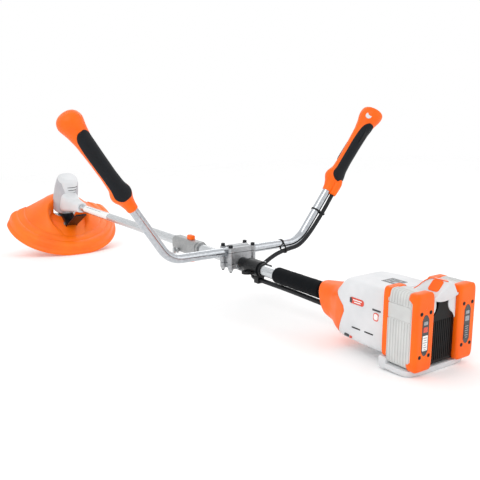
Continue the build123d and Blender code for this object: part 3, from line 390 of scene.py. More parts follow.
def nitrile_foam():
    """Closed-cell foam: dull black with open pores about half a millimetre across."""
    material, tree, shader, place = blank("nitrile_foam", {"IOR": 1.45, "Specular IOR Level": 0.15})
    pores = node(tree, "TexVoronoi", {"Scale": 1 / (1.1 * MM)}, {"Vector": place})
    lumps = noise(tree, place, 12.0, 3.0, 0.6)
    coloured(tree, shader, lumps, (0.3, "#07090C"), (0.7, "#0E1115"))
    roughened(tree, shader, lumps, 0.74, 0.9)
    relief(tree, shader, pores.outputs["Distance"], 0.35, 0.6)
    return material


def conduit_plastic():
    """Polyamide loom tube: semi-gloss black with rub marks on its crests."""
    material, tree, shader, place = blank("loom_polyamide", {"IOR": 1.53, "Specular IOR Level": 0.3})
    rub = noise(tree, place, 5.0, 4.0, 0.65)
    coloured(tree, shader, rub, (0.3, "#07090C"), (0.75, "#12161B"))
    roughened(tree, shader, rub, 0.28, 0.45)
    relief(tree, shader, noise(tree, place, 0.6), 0.02, 0.4)
    return material


def drawn_aluminium(name, light, dark, roughness, stretch):
    """Drawn tube, clear anodised: fine draw lines along it and a soft, bright reflection."""
    material, tree, shader, place = blank(name, {"Metallic": 1.0})
    lines = noise(tree, place, 0.8, 4.0, 0.6, stretch)
    coloured(tree, shader, lines, (0.3, dark), (0.7, light))
    roughened(tree, shader, lines, roughness - 0.05, roughness + 0.06)
    relief(tree, shader, lines, 0.006, 0.5)
    return material


def cast_aluminium(name, light, dark, roughness=0.42):
    """Die casting, bead blasted: a dull grey skin with fine pits."""
    material, tree, shader, place = blank(name, {"Metallic": 0.9})
    skin = noise(tree, place, 4.0, 5.0, 0.65)
    coloured(tree, shader, skin, (0.3, dark), (0.7, light))
    roughened(tree, shader, skin, roughness - 0.06, roughness + 0.1)
    relief(tree, shader, noise(tree, place, 0.55, 3.0, 0.6), 0.05, 0.55)
    return material


def plated_steel(name, light, dark, roughness):
    """Zinc-plated or blackened steel: even metal with slight clouding from the bath."""
    material, tree, shader, place = blank(name, {"Metallic": 1.0})
    cloud = noise(tree, place, 3.0, 4.0, 0.6)
    coloured(tree, shader, cloud, (0.3, dark), (0.7, light))
    roughened(tree, shader, cloud, roughness - 0.05, roughness + 0.08)
    relief(tree, shader, noise(tree, place, 1.2), 0.012, 0.5)
    return material


def ground_steel():
    """Rolled blade steel, ground on its faces: straight grinding lines."""
    material, tree, shader, place = blank("ground_blade_steel", {"Metallic": 1.0})
    lines = noise(tree, place, 0.7, 4.0, 0.6, (0.06, 1.0, 0.06))
    coloured(tree, shader, lines, (0.3, "#7D8083"), (0.7, "#B4B7B9"))
    roughened(tree, shader, lines, 0.24, 0.4)
    relief(tree, shader, lines, 0.02, 0.5)
    return material


def wound_copper():
    """Enamelled copper windings over dark laminations."""
    material, tree, shader, place = blank("wound_copper", {"Metallic": 0.8})
    values = {"Scale": 1 / (1.6 * MM), "Distortion": 1.5}
    wires = node(tree, "TexWave", values, {"Vector": place}).outputs["Fac"]
    coloured(tree, shader, wires, (0.2, "#3A1D10"), (0.8, "#B4612C"))
    roughened(tree, shader, wires, 0.3, 0.5)
    relief(tree, shader, wires, 0.3, 0.6)
    return material


def printed_film(name, light, dark, roughness=0.28):
    """Printed polyester label: smooth film with a faint orange peel."""
    material, tree, shader, place = blank(name, {"IOR": 1.57, "Coat Weight": 0.3, "Coat Roughness": 0.1})
    ink = noise(tree, place, 2.5, 3.0, 0.6)
    coloured(tree, shader, ink, (0.3, dark), (0.7, light))
    roughened(tree, shader, ink, roughness - 0.04, roughness + 0.06)
    relief(tree, shader, noise(tree, place, 1.5), 0.01, 0.4)
    return material


FINISH = {
    "orange": moulded("orange_nylon", "#FF6A00", "#F66000", 0.42),
    "white": moulded("white_abs", "#DCDDDF", "#D2D4D6", 0.44),
    "pack": moulded("pale_grey_abs", "#D0D1CF", "#C2C3C2", 0.46),
    # grey of the head's side faces: painted shade on the white cover
    "grey": moulded("painted_side_shade_abs", "#BDBDC1", "#AFB0B5", 0.42),
    "black": moulded("black_nylon", "#101215", "#0A0B0D", 0.36),
    "panel": moulded("black_panel_abs", "#060708", "#030404", 0.34, 0.2),
    "guard": guard_plastic(),
    "rubber": soft_rubber(),
    "foam": nitrile_foam(),
    "conduit": conduit_plastic(),
    "boom": drawn_aluminium("boom_aluminium", "#D3D6D8", "#B9BCBF", 0.26, (0.03, 1.0, 1.0)),
    "bar": drawn_aluminium("bar_aluminium", "#C9CCD0", "#A9ADB2", 0.17, (0.5, 0.12, 0.12)),
    "cast": cast_aluminium("clamp_casting", "#B9BBBD", "#97999C"),
    "coupler": cast_aluminium("coupler_casting", "#B4B5B5", "#929495", 0.46),
    "zinc": plated_steel("zinc_plated_steel", "#C9CBCC", "#9FA2A4", 0.28),
    "black_steel": plated_steel("blackened_steel", "#3A3C3F", "#202224", 0.38),
    "blade": ground_steel(),
    "bearing": plated_steel("bearing_steel", "#D8DADB", "#B8BABC", 0.16),
    "copper": wound_copper(),
    "board": printed_film("board_lacquer", "#1B5A34", "#123F25"),
    "window": printed_film("smoked_window", "#34393F", "#23272C", 0.16),
    "label_white": printed_film("label_white", "#F3F3F1", "#E6E6E4"),
    "label_dark": printed_film("label_dark", "#25282D", "#15171A"),
    "label_red": printed_film("label_red", "#E4421F", "#C93312"),
    "label_grey": printed_film("label_grey", "#9CA1A6", "#83888E"),
    "lens": printed_film("clear_lens", "#5A6068", "#40454C", 0.14),
    "recess": moulded("shadowed_recess", "#1A1B1D", "#0E0F10", 0.6, 0.5),
}


# =====================================================================
# Camera, light and floor
# =====================================================================
EYE = (978.6, -876.4, 375.3)
AIM_TURN = 55.65  # the lens axis about the vertical, in degrees
AIM_DROP = 11.66  # and below the horizon
LAMPS = (  # name, place, size and power of each softbox, in metres and watts
    ("key", (1.3, -2.6, 3.0), (2.6, 1.6), 26),
    ("fill", (2.8, 1.6, 1.8), (2.0, 2.0), 8),
    ("rim", (-2.2, 2.2, 2.4), (2.4, 1.2), 18),
)
LAMPS_AIM = (0.1, 0, 0.25)


def camera():
    """View from behind the operator's left side, a little above the boom."""
    data = bpy.data.cameras.new("camera")
    data.lens = 49.16
    data.sensor_width = 36.0
    data.clip_end = 60.0
    view = bpy.data.objects.new("camera", data)
    view.location = at(*EYE)
    view.rotation_euler = (np.pi / 2 - np.radians(AIM_DROP), 0, np.radians(AIM_TURN))
    bpy.context.scene.collection.objects.link(view)
    bpy.context.scene.camera = view


def softbox(name, place, size, power):
    """A rectangular area lamp turned to the middle of the machine."""
    data = bpy.data.lights.new(name, "AREA")
    data.shape = "RECTANGLE"
    data.size, data.size_y = size
    data.energy = power
    light = bpy.data.objects.new(name, data)
    light.location = place
    light.rotation_euler = (Vector(LAMPS_AIM) - Vector(place)).to_track_quat("-Z", "Y").to_euler()
    bpy.context.scene.collection.objects.link(light)


def studio():
    """White sweep that touches the guard's rim and the powerhead's foot, under large softboxes."""
    rim_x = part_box("guard_shield")[1].x - 0.02
    slope = TRAY_LOW.z / (TRAY_LOW.x - rim_x)
    x, y = np.meshgrid(spread(-9, 9, 2), spread(-9, 9, 2), indexing="ij")
    points = np.stack([x, y, (x - rim_x) * slope - 0.001], -1)
    mesh = bpy.data.meshes.new("studio_floor")
    mesh.from_pydata(points.reshape(-1, 3).tolist(), [], [[0, 2, 3, 1]])
    floor = bpy.data.objects.new("studio_floor", mesh)
    bpy.context.scene.collection.objects.link(floor)
    material, tree, shader, place = blank("pale_sweep", {"Roughness": 0.9, "Specular IOR Level": 0.1})
    cloud = noise(tree, place, 400.0)
    coloured(tree, shader, cloud, (0.3, "#FEFEFE"), (0.7, "#FFFFFF"))
    mesh.materials.append(material)
    world = bpy.data.worlds.new("studio")
    world.use_nodes = True
    background = world.node_tree.nodes["Background"]
    background.inputs["Color"].default_value = (1, 1, 1, 1)
    background.inputs["Strength"].default_value = 1.0
    bpy.context.scene.world = world
    for lamp in LAMPS:
        softbox(*lamp)
    bpy.context.scene.view_settings.view_transform = "Standard"


# =====================================================================
# Control conduit
# =====================================================================
CONDUIT_POINTS = [  # the route's points, chosen along the arm, under the bar and under the boom
    (-292.6, 295.2, 160.4), (-293.5, 267.5, 118.5), (-296.5, 238, 77.5), (-295.5, 207, 44),
    (-295.5, 177, 21), (-296, 146, 17), (-295.4, 115, 11.8), (-293.8, 87, 2), (-291, 59, -12),
    (-283.5, 31, -23.5), (-267, 11.8, -26.3), (-244, 1.0, -26.4), (-203, 0, -26.5), (-122, 1, -26),
    (-43, 0, -26.8), (34, 0.5, -28.5),
]
LOOM_R = 5.5
LOOM_PITCH = 2.8
LOOM_DEPTH = 0.55
GLAND = (  # radius and height of the sleeve, from its bore out over its lip and into the grip
    (5.8, -8), (5.8, -20), (7.6, -20.2), (8.9, -19), (9.6, -16), (10.8, -4), (11.6, 8), (11.2, 16), (9.6, 22),
    (6.0, 27), (1.0, 29),
)


def conduit_gland():
    """Tapered sleeve at the foot of the right grip that the conduit runs into."""
    first, second = at(*CONDUIT_POINTS[0]), at(*CONDUIT_POINTS[1])
    grid = turned(first, first - second, np.array(GLAND) * MM, 40)
    piece("right_grip_sleeve", [(grid, False, True)], "machine", "orange", corner=50)


def smooth_route(points):
    """Points along the NURBS line of a route, an even step apart, in metres."""
    data = bpy.data.curves.new("route", "CURVE")
    data.dimensions = "3D"
    data.resolution_u = 24
    spline = data.splines.new("NURBS")
    spline.points.add(len(points) - 1)
    spline.points.foreach_set("co", np.hstack([points, np.ones((len(points), 1))]).ravel())
    spline.order_u = 3
    spline.use_endpoint_u = True
    route = bpy.data.objects.new("route", data)
    mesh = bpy.data.meshes.new_from_object(route)
    line = np.zeros(len(mesh.vertices) * 3)
    mesh.vertices.foreach_get("co", line)
    bpy.data.meshes.remove(mesh)
    bpy.data.objects.remove(route)
    return line.reshape(-1, 3)


def resampled(line, pitch):
    """Points along a line every pitch millimetres, and how far along it each one is."""
    run = np.concatenate([[0], np.cumsum(np.linalg.norm(np.diff(line, axis=0), axis=1))])
    even = np.arange(0, run[-1], pitch * MM)
    return np.stack([np.interp(even, run, line[:, k]) for k in range(3)], -1), even / MM


def carried(line, radius, count=20):
    """Tube of a given radius at each point of a line; its ring turns as little as it can."""
    aside = (0.94, 0.1, 0.33)  # never along the line, so the ring has a first direction everywhere
    way = np.gradient(line, axis=0)
    way /= np.linalg.norm(way, axis=1, keepdims=True)
    one = np.cross(way, aside)
    one /= np.linalg.norm(one, axis=1, keepdims=True)
    two = np.cross(way, one)
    turn = spread(0, 2 * np.pi, count + 1)[:-1]
    ring = np.cos(turn)[None, :, None] * one[:, None] + np.sin(turn)[None, :, None] * two[:, None]
    return line[:, None] + ring * (np.asarray(radius)[:, None, None] * MM)


def control_conduit():
    """Loom tube along the route: its radius falls by the ring's depth between one crest and the next."""
    route = np.array([at(*point) for point in CONDUIT_POINTS])
    line, run = resampled(smooth_route(route), LOOM_PITCH / 4)
    crest = 0.5 + 0.5 * np.cos(2 * np.pi * run / LOOM_PITCH)
    radius = LOOM_R - LOOM_DEPTH * (1 - step(crest, 0.2, 0.8))
    piece("control_conduit_loom", [(carried(line, radius), False, True)], "machine",
          "conduit", ("control_conduit",), corner=60)


# =====================================================================
# Handlebar grips
# =====================================================================
GRIP_KEYS = np.array([  # along the arm, finger side, palm side, half width
    (155, -13.2, 13.2, 12.7), (166, -14.5, 14, 13.5), (180, -20, 16, 17), (193, -28, 20.5, 24),
    (204, -27, 21.5, 24.5), (220, -18.5, 18.5, 18.5), (250, -17, 17.5, 17), (300, -17.5, 19, 17.5),
    (340, -19, 21, 19), (365, -22, 26, 23), (383, -27, 31, 28), (408, -27, 31, 28),
])
GRIP_REACH = 5.0  # the keys are joined over this much to either side
GRIP_FROM = 155.0
GRIP_TO = 407.5
DOME_FROM = 380.0
PAD_FROM = 187.0
PAD_TO = 366.0


def grip_skin(sign, along, angle, grow=0.0):
    """Ellipse about the arm whose sides follow the keys; angle 0 is the palm side, 90 the inner side.

    From DOME_FROM to GRIP_TO it closes in by (1 - u^p)^(1/p), which is blunter on the right grip.
    """
    along, angle = np.broadcast_arrays(along, angle)
    finger, palm, half = (eased(along, GRIP_KEYS[:, 0], GRIP_KEYS[:, k], GRIP_REACH) for k in (1, 2, 3))
    turn = np.radians(angle)
    rise = np.clip((along - DOME_FROM) / (GRIP_TO - DOME_FROM), 0, 1)
    blunt = 5.0 if sign > 0 else 2.5
    dome = np.clip(1 - rise**blunt, 0, 1) ** (1 / blunt)
    if sign > 0:
        palm = palm + 5 * step(along, 370, 398)
    aft = (palm + finger) / 2 + ((palm - finger) / 2 + grow) * dome * np.cos(turn)
    return at_arm(sign, along, aft, (half + grow) * dome * np.sin(turn))


def arm_middle(sign, along):
    """A point on the arm's own axis."""
    return at_arm(sign, np.array(along), np.array(0.0), np.array(0.0))


def grip_shell(sign, word):
    """Moulded shell from its bore on the arm, over its lip and up to the domed head."""
    dome = DOME_FROM + (GRIP_TO - DOME_FROM) * np.sin(spread(0, np.pi / 2, 24))
    lip_rows = [(GRIP_FROM, -1.4), (GRIP_FROM, -0.6), (GRIP_FROM + 1, 0)]
    sides = spread(GRIP_FROM + 2.5, DOME_FROM - 1.5, 100)
    along = np.concatenate([[row[0] for row in lip_rows], sides, dome])
    grow = np.zeros(len(along))
    grow[:3] = [row[1] for row in lip_rows]
    angle = spread(0, 360, 73)[:-1]
    turn = np.radians(angle)
    bore = np.array([GRIP_FROM + 8, GRIP_FROM])[:, None]
    hole = at_arm(sign, bore, BAR_R * np.cos(turn)[None], BAR_R * np.sin(turn)[None])
    grid = np.concatenate([hole, grip_skin(sign, along[:, None], angle[None, :], grow[:, None])])
    piece(f"{word}_grip_shell", [(grid, False, True)], "machine", "orange",
          (f"{word}_grip",), corner=50)


def grip_pad(sign, word):
    """Insert on the palm side: a patch of the skin whose width tapers to round ends, crowned and edged."""
    middle, half = (PAD_FROM + PAD_TO) / 2, (PAD_TO - PAD_FROM) / 2
    along = middle + half * np.sin(spread(-np.pi / 2, np.pi / 2, 90))
    across = np.sin(spread(-np.pi / 2, np.pi / 2, 41))
    end = np.clip(1 - np.abs((along - middle) / half) ** 5, 0, 1) ** 0.42
    half_angle = eased(along, [187, 200, 222, 300, 350, 366], [74, 74, 70, 70, 62, 50], 6)
    angle = (end * half_angle)[:, None] * across[None, :]
    to_end = 4 * (1 - np.abs((along - middle) / half))
    edge = np.minimum(1 - np.abs(across)[None, :], to_end[:, None])
    grow = -1.0 + 2.5 * step(edge, 0.0, 0.09)
    thumb = np.exp(-((along - 203) / 11) ** 2)[:, None] * np.exp(-(across / 0.55) ** 2)[None, :]
    grid = grip_skin(sign, along[:, None], angle, grow - 1.2 * thumb)
    piece(f"{word}_grip_insert", [(grid, False, False)], "machine", "rubber",
          (f"{word}_grip_pad",), inside=arm_middle(sign, 276.0), corner=60)


def grip_patch(name, from_to, centre, half_angle, grow):
    """Painted shade round a lever of the right grip: a dark rounded patch of its skin over the lever's slot.
    """
    middle, half = sum(from_to) / 2, (from_to[1] - from_to[0]) / 2
    along = middle + half * np.sin(spread(-np.pi / 2, np.pi / 2, 40))
    end = np.clip(1 - np.abs((along - middle) / half) ** 6, 0, 1) ** 0.5
    angle = centre + (end * half_angle)[:, None] * spread(-1, 1, 15)[None, :]
    piece(name, [(grip_skin(1, along[:, None], angle, grow), False, False)], "machine", "recess",
          inside=arm_middle(1, middle))


def grips():
    """Both grips with their inserts, and the levers and button of the right one."""
    for sign, word in SIDES:
        grip_shell(sign, word)
        grip_pad(sign, word)
    # dark patches round the trigger and the lock-off: painted shade of their slots
    grip_patch("trigger_slot", (236, 336), 180.0, 44.0, 0.25)
    grip_patch("lockoff_slot", (297, 365), 0.0, 19.0, 1.35)
    refined("throttle_trigger", "black", "black_plastic", 0.8)
    refined("lockoff_lever", "black", "black_plastic", 0.8)
    refined("power_button", "white", "white_plastic", 0.3)


# =====================================================================
# Foam grip, ties and small parts of the boom
# =====================================================================
FOAM_EDGE = 4.0  # length over which the foam's ends are rounded
FOAM_DROP = 3.2  # and how far they come in


def foam_grip():
    """Foam tube with rounded ends, slightly uneven along its length."""
    low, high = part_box("foam_grip")
    length = (high.x - low.x) / MM
    radius = (high.z - low.z) / 2 / MM
    along = spread(0, length, 90)
    share = np.clip(np.minimum(along, length - along) / FOAM_EDGE, 0, 1)
    swell = radius - FOAM_DROP * (1 - np.sqrt(1 - (1 - share) ** 2))
    swell = swell + 0.12 * np.sin(along / 9.0) + 0.1 * np.sin(along / 3.7)
    profile = np.concatenate([[(TUBE_R, 0)], np.stack([swell, along], -1), [(TUBE_R, length)]])
    grid = turned(at(low.x / MM - COLLAR_X, 0, 0), BACK, profile * MM, 56)
    foam = piece("foam_sleeve", [(grid, False, True)], "machine", "foam", ("foam_grip",),
                 corner=60)


LABEL_TURN = np.radians(spread(-62, 118, 40))
LABEL_FILMS = (  # name, finish, part of the label's turn, from and to along the boom, and height off the tube
    ("boom_label", "label_white", slice(None), (-1300, -1090), 0.12),
    ("boom_label_line_1", "label_grey", slice(14, 17), (-1282, -1110), 0.2),
    ("boom_label_line_2", "label_grey", slice(20, 23), (-1282, -1150), 0.22),
)
BOOM_PARTS = (  # made part, finish, slot and edge radius
    ("coupler_body", "coupler", "cast_aluminium", 1.2),
    ("coupler_pin", "orange", "orange_plastic", 0.6),
    ("coupler_cap", "orange", "orange_plastic", 0.6),
    ("wing_bolt", "zinc", "zinc_steel", 0.5),
    ("clamp_base", "cast", "cast_aluminium", 0.9),
    ("clamp_body", "cast", "cast_aluminium", 0.9),
    ("clamp_cap", "cast", "cast_aluminium", 0.9),
    ("clamp_bolts", "black_steel", "black_steel", 0.4),
    ("clamp_nuts", "zinc", "zinc_steel", 0.4),
    ("harness_bracket", "black", "black_plastic", 0.8),
    ("bracket_screw", "zinc", "black_steel", 0.3),
    ("cable_ties", "black", "black_plastic", 0.3),
)


def boom_label():
    """Printed film bent round the front tube, with two printed lines on it."""
    for name, finish, part, (x_from, x_to), lift in LABEL_FILMS:
        turn, radius = LABEL_TURN[part], TUBE_R + lift
        x = spread(x_from, x_to, 30)[:, None]
        grid = at(x, -radius * np.sin(turn)[None], radius * np.cos(turn)[None])
        piece(name, [(grid, False, False)], "machine", finish,
              inside=at((x_from + x_to) / 2, 0, 0))


def boom_parts():
    """Tubes, label, coupler, handlebar clamp, harness bracket and ties."""
    plain("front_tube", "boom")
    plain("rear_tube", "boom")
    boom_label()
    for part in BOOM_PARTS:
        refined(*part)
    plain("tube_sleeve", "black")
    plain("handlebar", "bar")
    plain("motor_lead", "conduit")


# =====================================================================
# Cutter head
# =====================================================================
GUARD_DECK = np.array([  # radius and height of the guard's section, from the hub out to the rim
    (45, -41), (80, -46.5), (112, -55), (142, -61.5), (172, -65.2), (178, -64.0), (186, -64.6), (193, -67.5),
    (197.5, -72.5), (201, -82), (204, -90), (209, -93), (212.5, -97), (214, -101), (213, -103.5),
])
HUB_RING = 68  # inside this radius the guard runs all the way round


def guard_deck(radius):
    """Height of the plain section."""
    return np.interp(radius, GUARD_DECK[:, 0], GUARD_DECK[:, 1])


def shroud(radius, angle):
    """How far the shroud stands above the section: it rises towards the hub outside the two creases."""
    crease = np.interp(radius, [45, 60, 117, 150], [78, 70, 24, 14])
    round_front = np.sin(np.pi / 2 * np.clip((np.abs(angle) - crease) / 22, 0, 1))
    climb = (1 - step(radius, 44, 172)) ** 1.25
    return 50 * round_front * climb


def guard():
    """Shell of the guard: its section swept about the spindle between two edges, with the shroud on it."""
    reach = np.concatenate([spread(45, 70, 12), spread(72, 172, 36), GUARD_DECK[3:, 0]])
    section = np.concatenate([guard_deck(reach[:48]), GUARD_DECK[3:, 1]])
    stops = spread(0, len(reach) - 1, 190)
    radius = np.interp(stops, np.arange(len(reach)), reach)
    height = np.interp(stops, np.arange(len(reach)), section)
    edge_turn = [180, 180, 148, 133, 125, 113.7, 103, 95.5]
    edge = eased(radius, [44, 68, 76, 85, 122, 164, 201, 214], edge_turn, 2.0)
    edge[radius <= HUB_RING] = 180
    angle = edge[:, None] * spread(-1, 1, 241)[None, :]
    rise = height[:, None] + shroud(radius[:, None], angle)
    grid = at_head(np.broadcast_to(radius[:, None], angle.shape), angle, rise)
    piece("guard_shell", [(grid, False, False)], "machine", "guard", ("guard_shield",),
          inside=head_middle(-400.0, 60.0), wall=2.6, corner=32)


HEAD_SQUARE = 2.7  # power of the barrel's oval: 2 is an ellipse, more is squarer


def head_section(height, angle):
    """Barrel of the head: a squarish oval that narrows to its flat top, with a soft edge."""
    wide = eased(height, [-25, 10, 60, 104, 112, 116], [42, 43, 42, 36.5, 34, 27], 2.0)
    long = eased(height, [-25, 10, 60, 104, 112, 116], [41, 42, 41, 35, 32, 25], 2.0)
    c, s = np.abs(np.cos(np.radians(angle))), np.abs(np.sin(np.radians(angle)))
    return 1 / ((c / long) ** HEAD_SQUARE + (s / wide) ** HEAD_SQUARE) ** (1 / HEAD_SQUARE)


def head_middle(height, radius=0.0):
    """A point inside the head, for turning a piece's faces outward."""
    return at_head(np.array(radius), np.array(0.0), np.array(height))


def head_barrel():
    """White cover: the barrel with its crown, and the socket that tapers back to the tube."""
    height = np.concatenate([[-25, -25], spread(-24.5, 103, 44), spread(104, 116, 12)])
    angle = spread(0, 360, 97)[:-1]
    radius = head_section(height[:, None], angle[None, :])
    radius[0] = 0
    level = np.broadcast_to(height[:, None], radius.shape)
    rows = at_head(radius, np.broadcast_to(angle, radius.shape), level)
    crown = at_head(np.zeros((1, 96)), angle[None], np.full((1, 96), 118.0))
    barrel = np.concatenate([rows, crown])
    x = spread(-1502, -1346, 40)
    half_w = eased(x, [-1502, -1470, -1410, -1372, -1345], [33, 31, 23, 19, 17.5], 8)
    low = eased(x, [-1502, -1478, -1410, -1372, -1345], [-34, -32, -23, -19, -17.5], 8)
    high = eased(x, [-1502, -1478, -1425, -1372, -1345], [62, 48, 27, 19.5, 17.5], 8)
    socket = [at(station, *superellipse(*sizes, 3.8, 64).T) for station, *sizes in zip(x, half_w, low, high)]
    mouth = ((-1344.5, 17.2), (-1344.5, 13.2), (-1360, 13.2))
    socket += [at(station, *superellipse(r, -r, r, 2, 64).T) for station, r in mouth]
    piece("head_cover", [(barrel, False, True), (np.stack(socket), False, True)], "machine",
          "white", ("head_housing_left", "head_housing_right"), corner=35)


def painted_head_shade():
    """Grey sheet that wraps the front of the barrel, painted shade of the head's side faces; its rear edges
    run down and aft.
    """
    height = spread(-24.6, 101, 60)
    share = spread(-1, 1, 81)
    back_edge = np.interp(height, [-25, 45, 75, 101], [172, 166, 150, 128])
    angle = 180 + back_edge[:, None] * share[None, :]
    radius = head_section(height[:, None], angle)
    to_side = (1 - np.abs(share))[None, :] * back_edge[:, None] / 3
    to_end = np.minimum(height + 25, 102 - height)[:, None] / 2
    lift = -0.6 + 1.5 * step(np.minimum(to_side, to_end), 0.0, 0.9)
    grid = at_head(radius + lift, angle, np.broadcast_to(height[:, None], angle.shape))
    piece("head_shade_sheet", [(grid, False, False)], "machine", "grey",
          inside=head_middle(40.0), corner=60)


def head_vents():
    """Three slots round the rear right quarter, each a dark strip on the skin that is the slot's painted
    shade.
    """
    taper = np.sqrt(np.clip(1 - spread(-1, 1, 40) ** 6, 0, 1))
    across = spread(-1.3, 1.3, 7)
    for index, middle in enumerate((66.0, 77.0, 88.0)):
        height = middle + across[:, None] * taper[None, :]
        angle = np.broadcast_to(spread(-6 - 7 * index, 60, 40), height.shape)
        grid = at_head(head_section(height, angle) + 0.25, angle, height)
        piece(f"head_vent_{index + 1}", [(grid, False, False)], "machine", "recess",
              inside=head_middle(middle))


def cutter_head():
    """Guard, head, blade and the motor inside the head."""
    guard()
    head_barrel()
    painted_head_shade()
    head_vents()
    refined("guard_bracket", "black_steel", "black_steel", 0.6)
    refined("guard_bolts", "zinc", "zinc_steel", 0.5)
    refined("head_flange", "cast", "cast_aluminium", 0.6)
    refined("cutting_blade", "blade", "blade_steel", 0.3)
    for part in ("blade_cup", "blade_washer", "blade_nut", "drive_flange"):
        refined(part, "zinc", "zinc_steel", 0.3)
    for part in ("spindle", "spindle_bearings", "motor_rotor", "pivot_pins"):
        plain(part, "bearing")
    plain("motor_stator", "copper")


# =====================================================================
# Powerhead
# =====================================================================
BODY_KEYS = np.array([  # station, half width, bottom, top, squareness of the section
    (0, 23, -37, 22, 2.3), (6, 25, -39, 24, 2.4), (60, 34, -50, 31, 2.8), (80, 44, -55, 34, 3.6),
    (94, 51, -55.5, 41, 4.4), (118, 58, -56, 62, 6.5), (160, 60, -55, 64, 8.0), (240, 60, -55, 64, 8.5),
])
BODY_TO = 234.5
RING = 220
BODY_X = spread(0, 236, 119)


def body_table():
    """The skin's rings at every station of BODY_X, as y and z."""
    keys = [eased(BODY_X, BODY_KEYS[:, 0], BODY_KEYS[:, k], 6.0) for k in (1, 2, 3, 4)]
    rings = np.stack([superellipse(half, low, high, power, RING) for half, low, high, power in zip(*keys)])
    y, z = rings[..., 0], rings[..., 1]
    # above the waist the sides stand in by a millimetre, behind the shoulder
    inset = 1.3 * step(z, 12.5, 14.5) * step(np.broadcast_to(BODY_X[:, None], z.shape), 112, 124)
    y = y - np.sign(y) * inset * step(np.abs(y), 40, 50)
    return np.stack([y, z], -1)


BODY_TABLE = body_table()


def body_skin(x):
    """y and z of the skin at stations x, one column for each point of the ring."""
    place = np.clip((x - BODY_X[0]) / (BODY_X[1] - BODY_X[0]), 0, len(BODY_X) - 1.001)
    low = place.astype(int)
    share = (place - low)[..., None]
    column = np.broadcast_to(np.arange(RING), x.shape)
    return BODY_TABLE[low, column] * (1 - share) + BODY_TABLE[low + 1, column] * share


def body_edge(rule):
    """Station of an edge on each column of the skin, where x = rule(z)."""
    x = np.full(RING, 90.0)
    for _ in range(60):
        x = 0.5 * x + 0.5 * rule(body_skin(x[None])[0, :, 1])
    return x


def parting(z):
    """Station of the line between the orange collar and the white body."""
    return np.interp(z, [-60, 0, 10, 30, 90], [98, 124, 121, 93, 93])


def collar_face(z):
    """Station of the collar's raked front face."""
    return 7 + (26 - z) * 25 / 70


def scaled(ring, share, z_mid=-7.0):
    """A ring drawn in towards its middle."""
    return np.stack([ring[..., 0] * share, z_mid + (ring[..., 1] - z_mid) * share], -1)


def front_collar():
    """Orange nose: the skin from its raked front face back to the parting, closed in to the tube."""
    front, back = body_edge(collar_face), body_edge(parting) - 0.5
    ring = body_skin(front[None] + 3.2)[0]
    turn = np.arctan2(ring[:, 1], ring[:, 0])
    hole = (TUBE_R + 0.35) * np.stack([np.cos(turn), np.sin(turn)], -1)
    rows = []
    for share, lift in ((0.0, 14.0), (0.0, -0.4), (0.55, -0.2), (0.84, 0.3), (0.955, 1.1), (0.99, 2.6)):
        y, z = (hole + (ring - hole) * share).T
        rows.append(at(collar_face(z) + lift, y, z)[None])
    x = front + (back - front) * np.sin(spread(0, np.pi / 2, 40)[2:, None]) ** 1.3
    skin = body_skin(x)
    rows.append(at(x, skin[..., 0], skin[..., 1]))
    tuck = scaled(body_skin(back[None]), 0.965)
    rows.append(at(back[None] + 0.2, tuck[..., 0], tuck[..., 1]))
    piece("collar_nose", [(np.concatenate(rows), False, True)], "machine", "orange",
          ("front_collar",), corner=40)


TOWER_HALF = 31.0
TOWER_FROM = 232.0
TOWER_LOW = -55.5
WALL_TO = 289.8


def deck_height(x, y):
    """Top of the bridge between the packs: a deck that climbs to a ridge with two slopes."""
    climb = eased(x, [244, 250, 264, 280, 330], [0, 0.04, 0.8, 1, 1], 3.0)
    gable = eased(np.abs(y), [0, 3.4, 26.4, 31], [89.4, 89.2, 66.2, 64.0], 0.8)
    return 62.5 + climb * (gable - 62.5)


def ridge_end(z):
    """Station of the ridge's raked rear face."""
    return 300 + (z - 50) * 0.40


def bridge():
    """Tower between the packs with the ridge on top; its rear face rakes and ends in a bowed lip."""
    across = np.sin(spread(-np.pi / 2, np.pi / 2, 61)) * TOWER_HALF
    lip = 53 + 8 * (np.abs(across) / TOWER_HALF) ** 2
    top_z = deck_height(np.full(61, 310.0), across)
    rows = []
    for share in spread(0, 1, 60):
        x = TOWER_FROM + share * (ridge_end(top_z) - TOWER_FROM)
        rows.append(at(x, across, deck_height(x, across)))
    for share in (0.02, 0.06, 0.2, 0.5, 0.9, 0.98, 1.0):
        z = top_z + (lip - top_z) * share
        bulge = 0.9 * np.sin(np.pi * min(share * 4, 1) / 2)
        rows.append(at(ridge_end(z) + bulge, across, z))
    rows.append(at(ridge_end(lip) - 6, across * 0.97, lip + 1.5))
    rows.append(at(np.full(61, 289.0), across * 0.97, lip + 3))
    grids = [(np.stack(rows), False, False)]
    x, y = np.array([[TOWER_FROM, WALL_TO, WALL_TO], [TOWER_HALF, TOWER_HALF, 27.0]])[:, :, None]
    for sign in (-1, 1):
        grids.append((at(x, sign * y, spread(TOWER_LOW, 63, 30)[None]), False, False))
    under = at(np.array([[TOWER_FROM], [WALL_TO]]), spread(-TOWER_HALF, TOWER_HALF, 9)[None], TOWER_LOW)
    grids.append((under, False, False))
    piece("bridge_cover", grids, "machine", "white", inside=at(270, 0, 10), corner=34)


def bridge_cheeks():
    """White fillets under the ridge's lip, one beside each pack, that leave a neck for the black panel."""
    height = spread(20, 66, 40)
    bulge = eased(height, [20, 30, 40, 50, 66], [0, 8, 15.5, 16, 13], 4)
    share = spread(0, 1, 12)[None]
    across = TOWER_HALF - bulge[:, None] * share
    for sign, word in SIDES:
        grid = at(301.5 - 3.0 * share**2, sign * across, height[:, None])
        piece(f"bridge_cheek_{word}", [(grid, False, False)], "machine", "white",
              inside=at(200, 0, 40), wall=2.0)


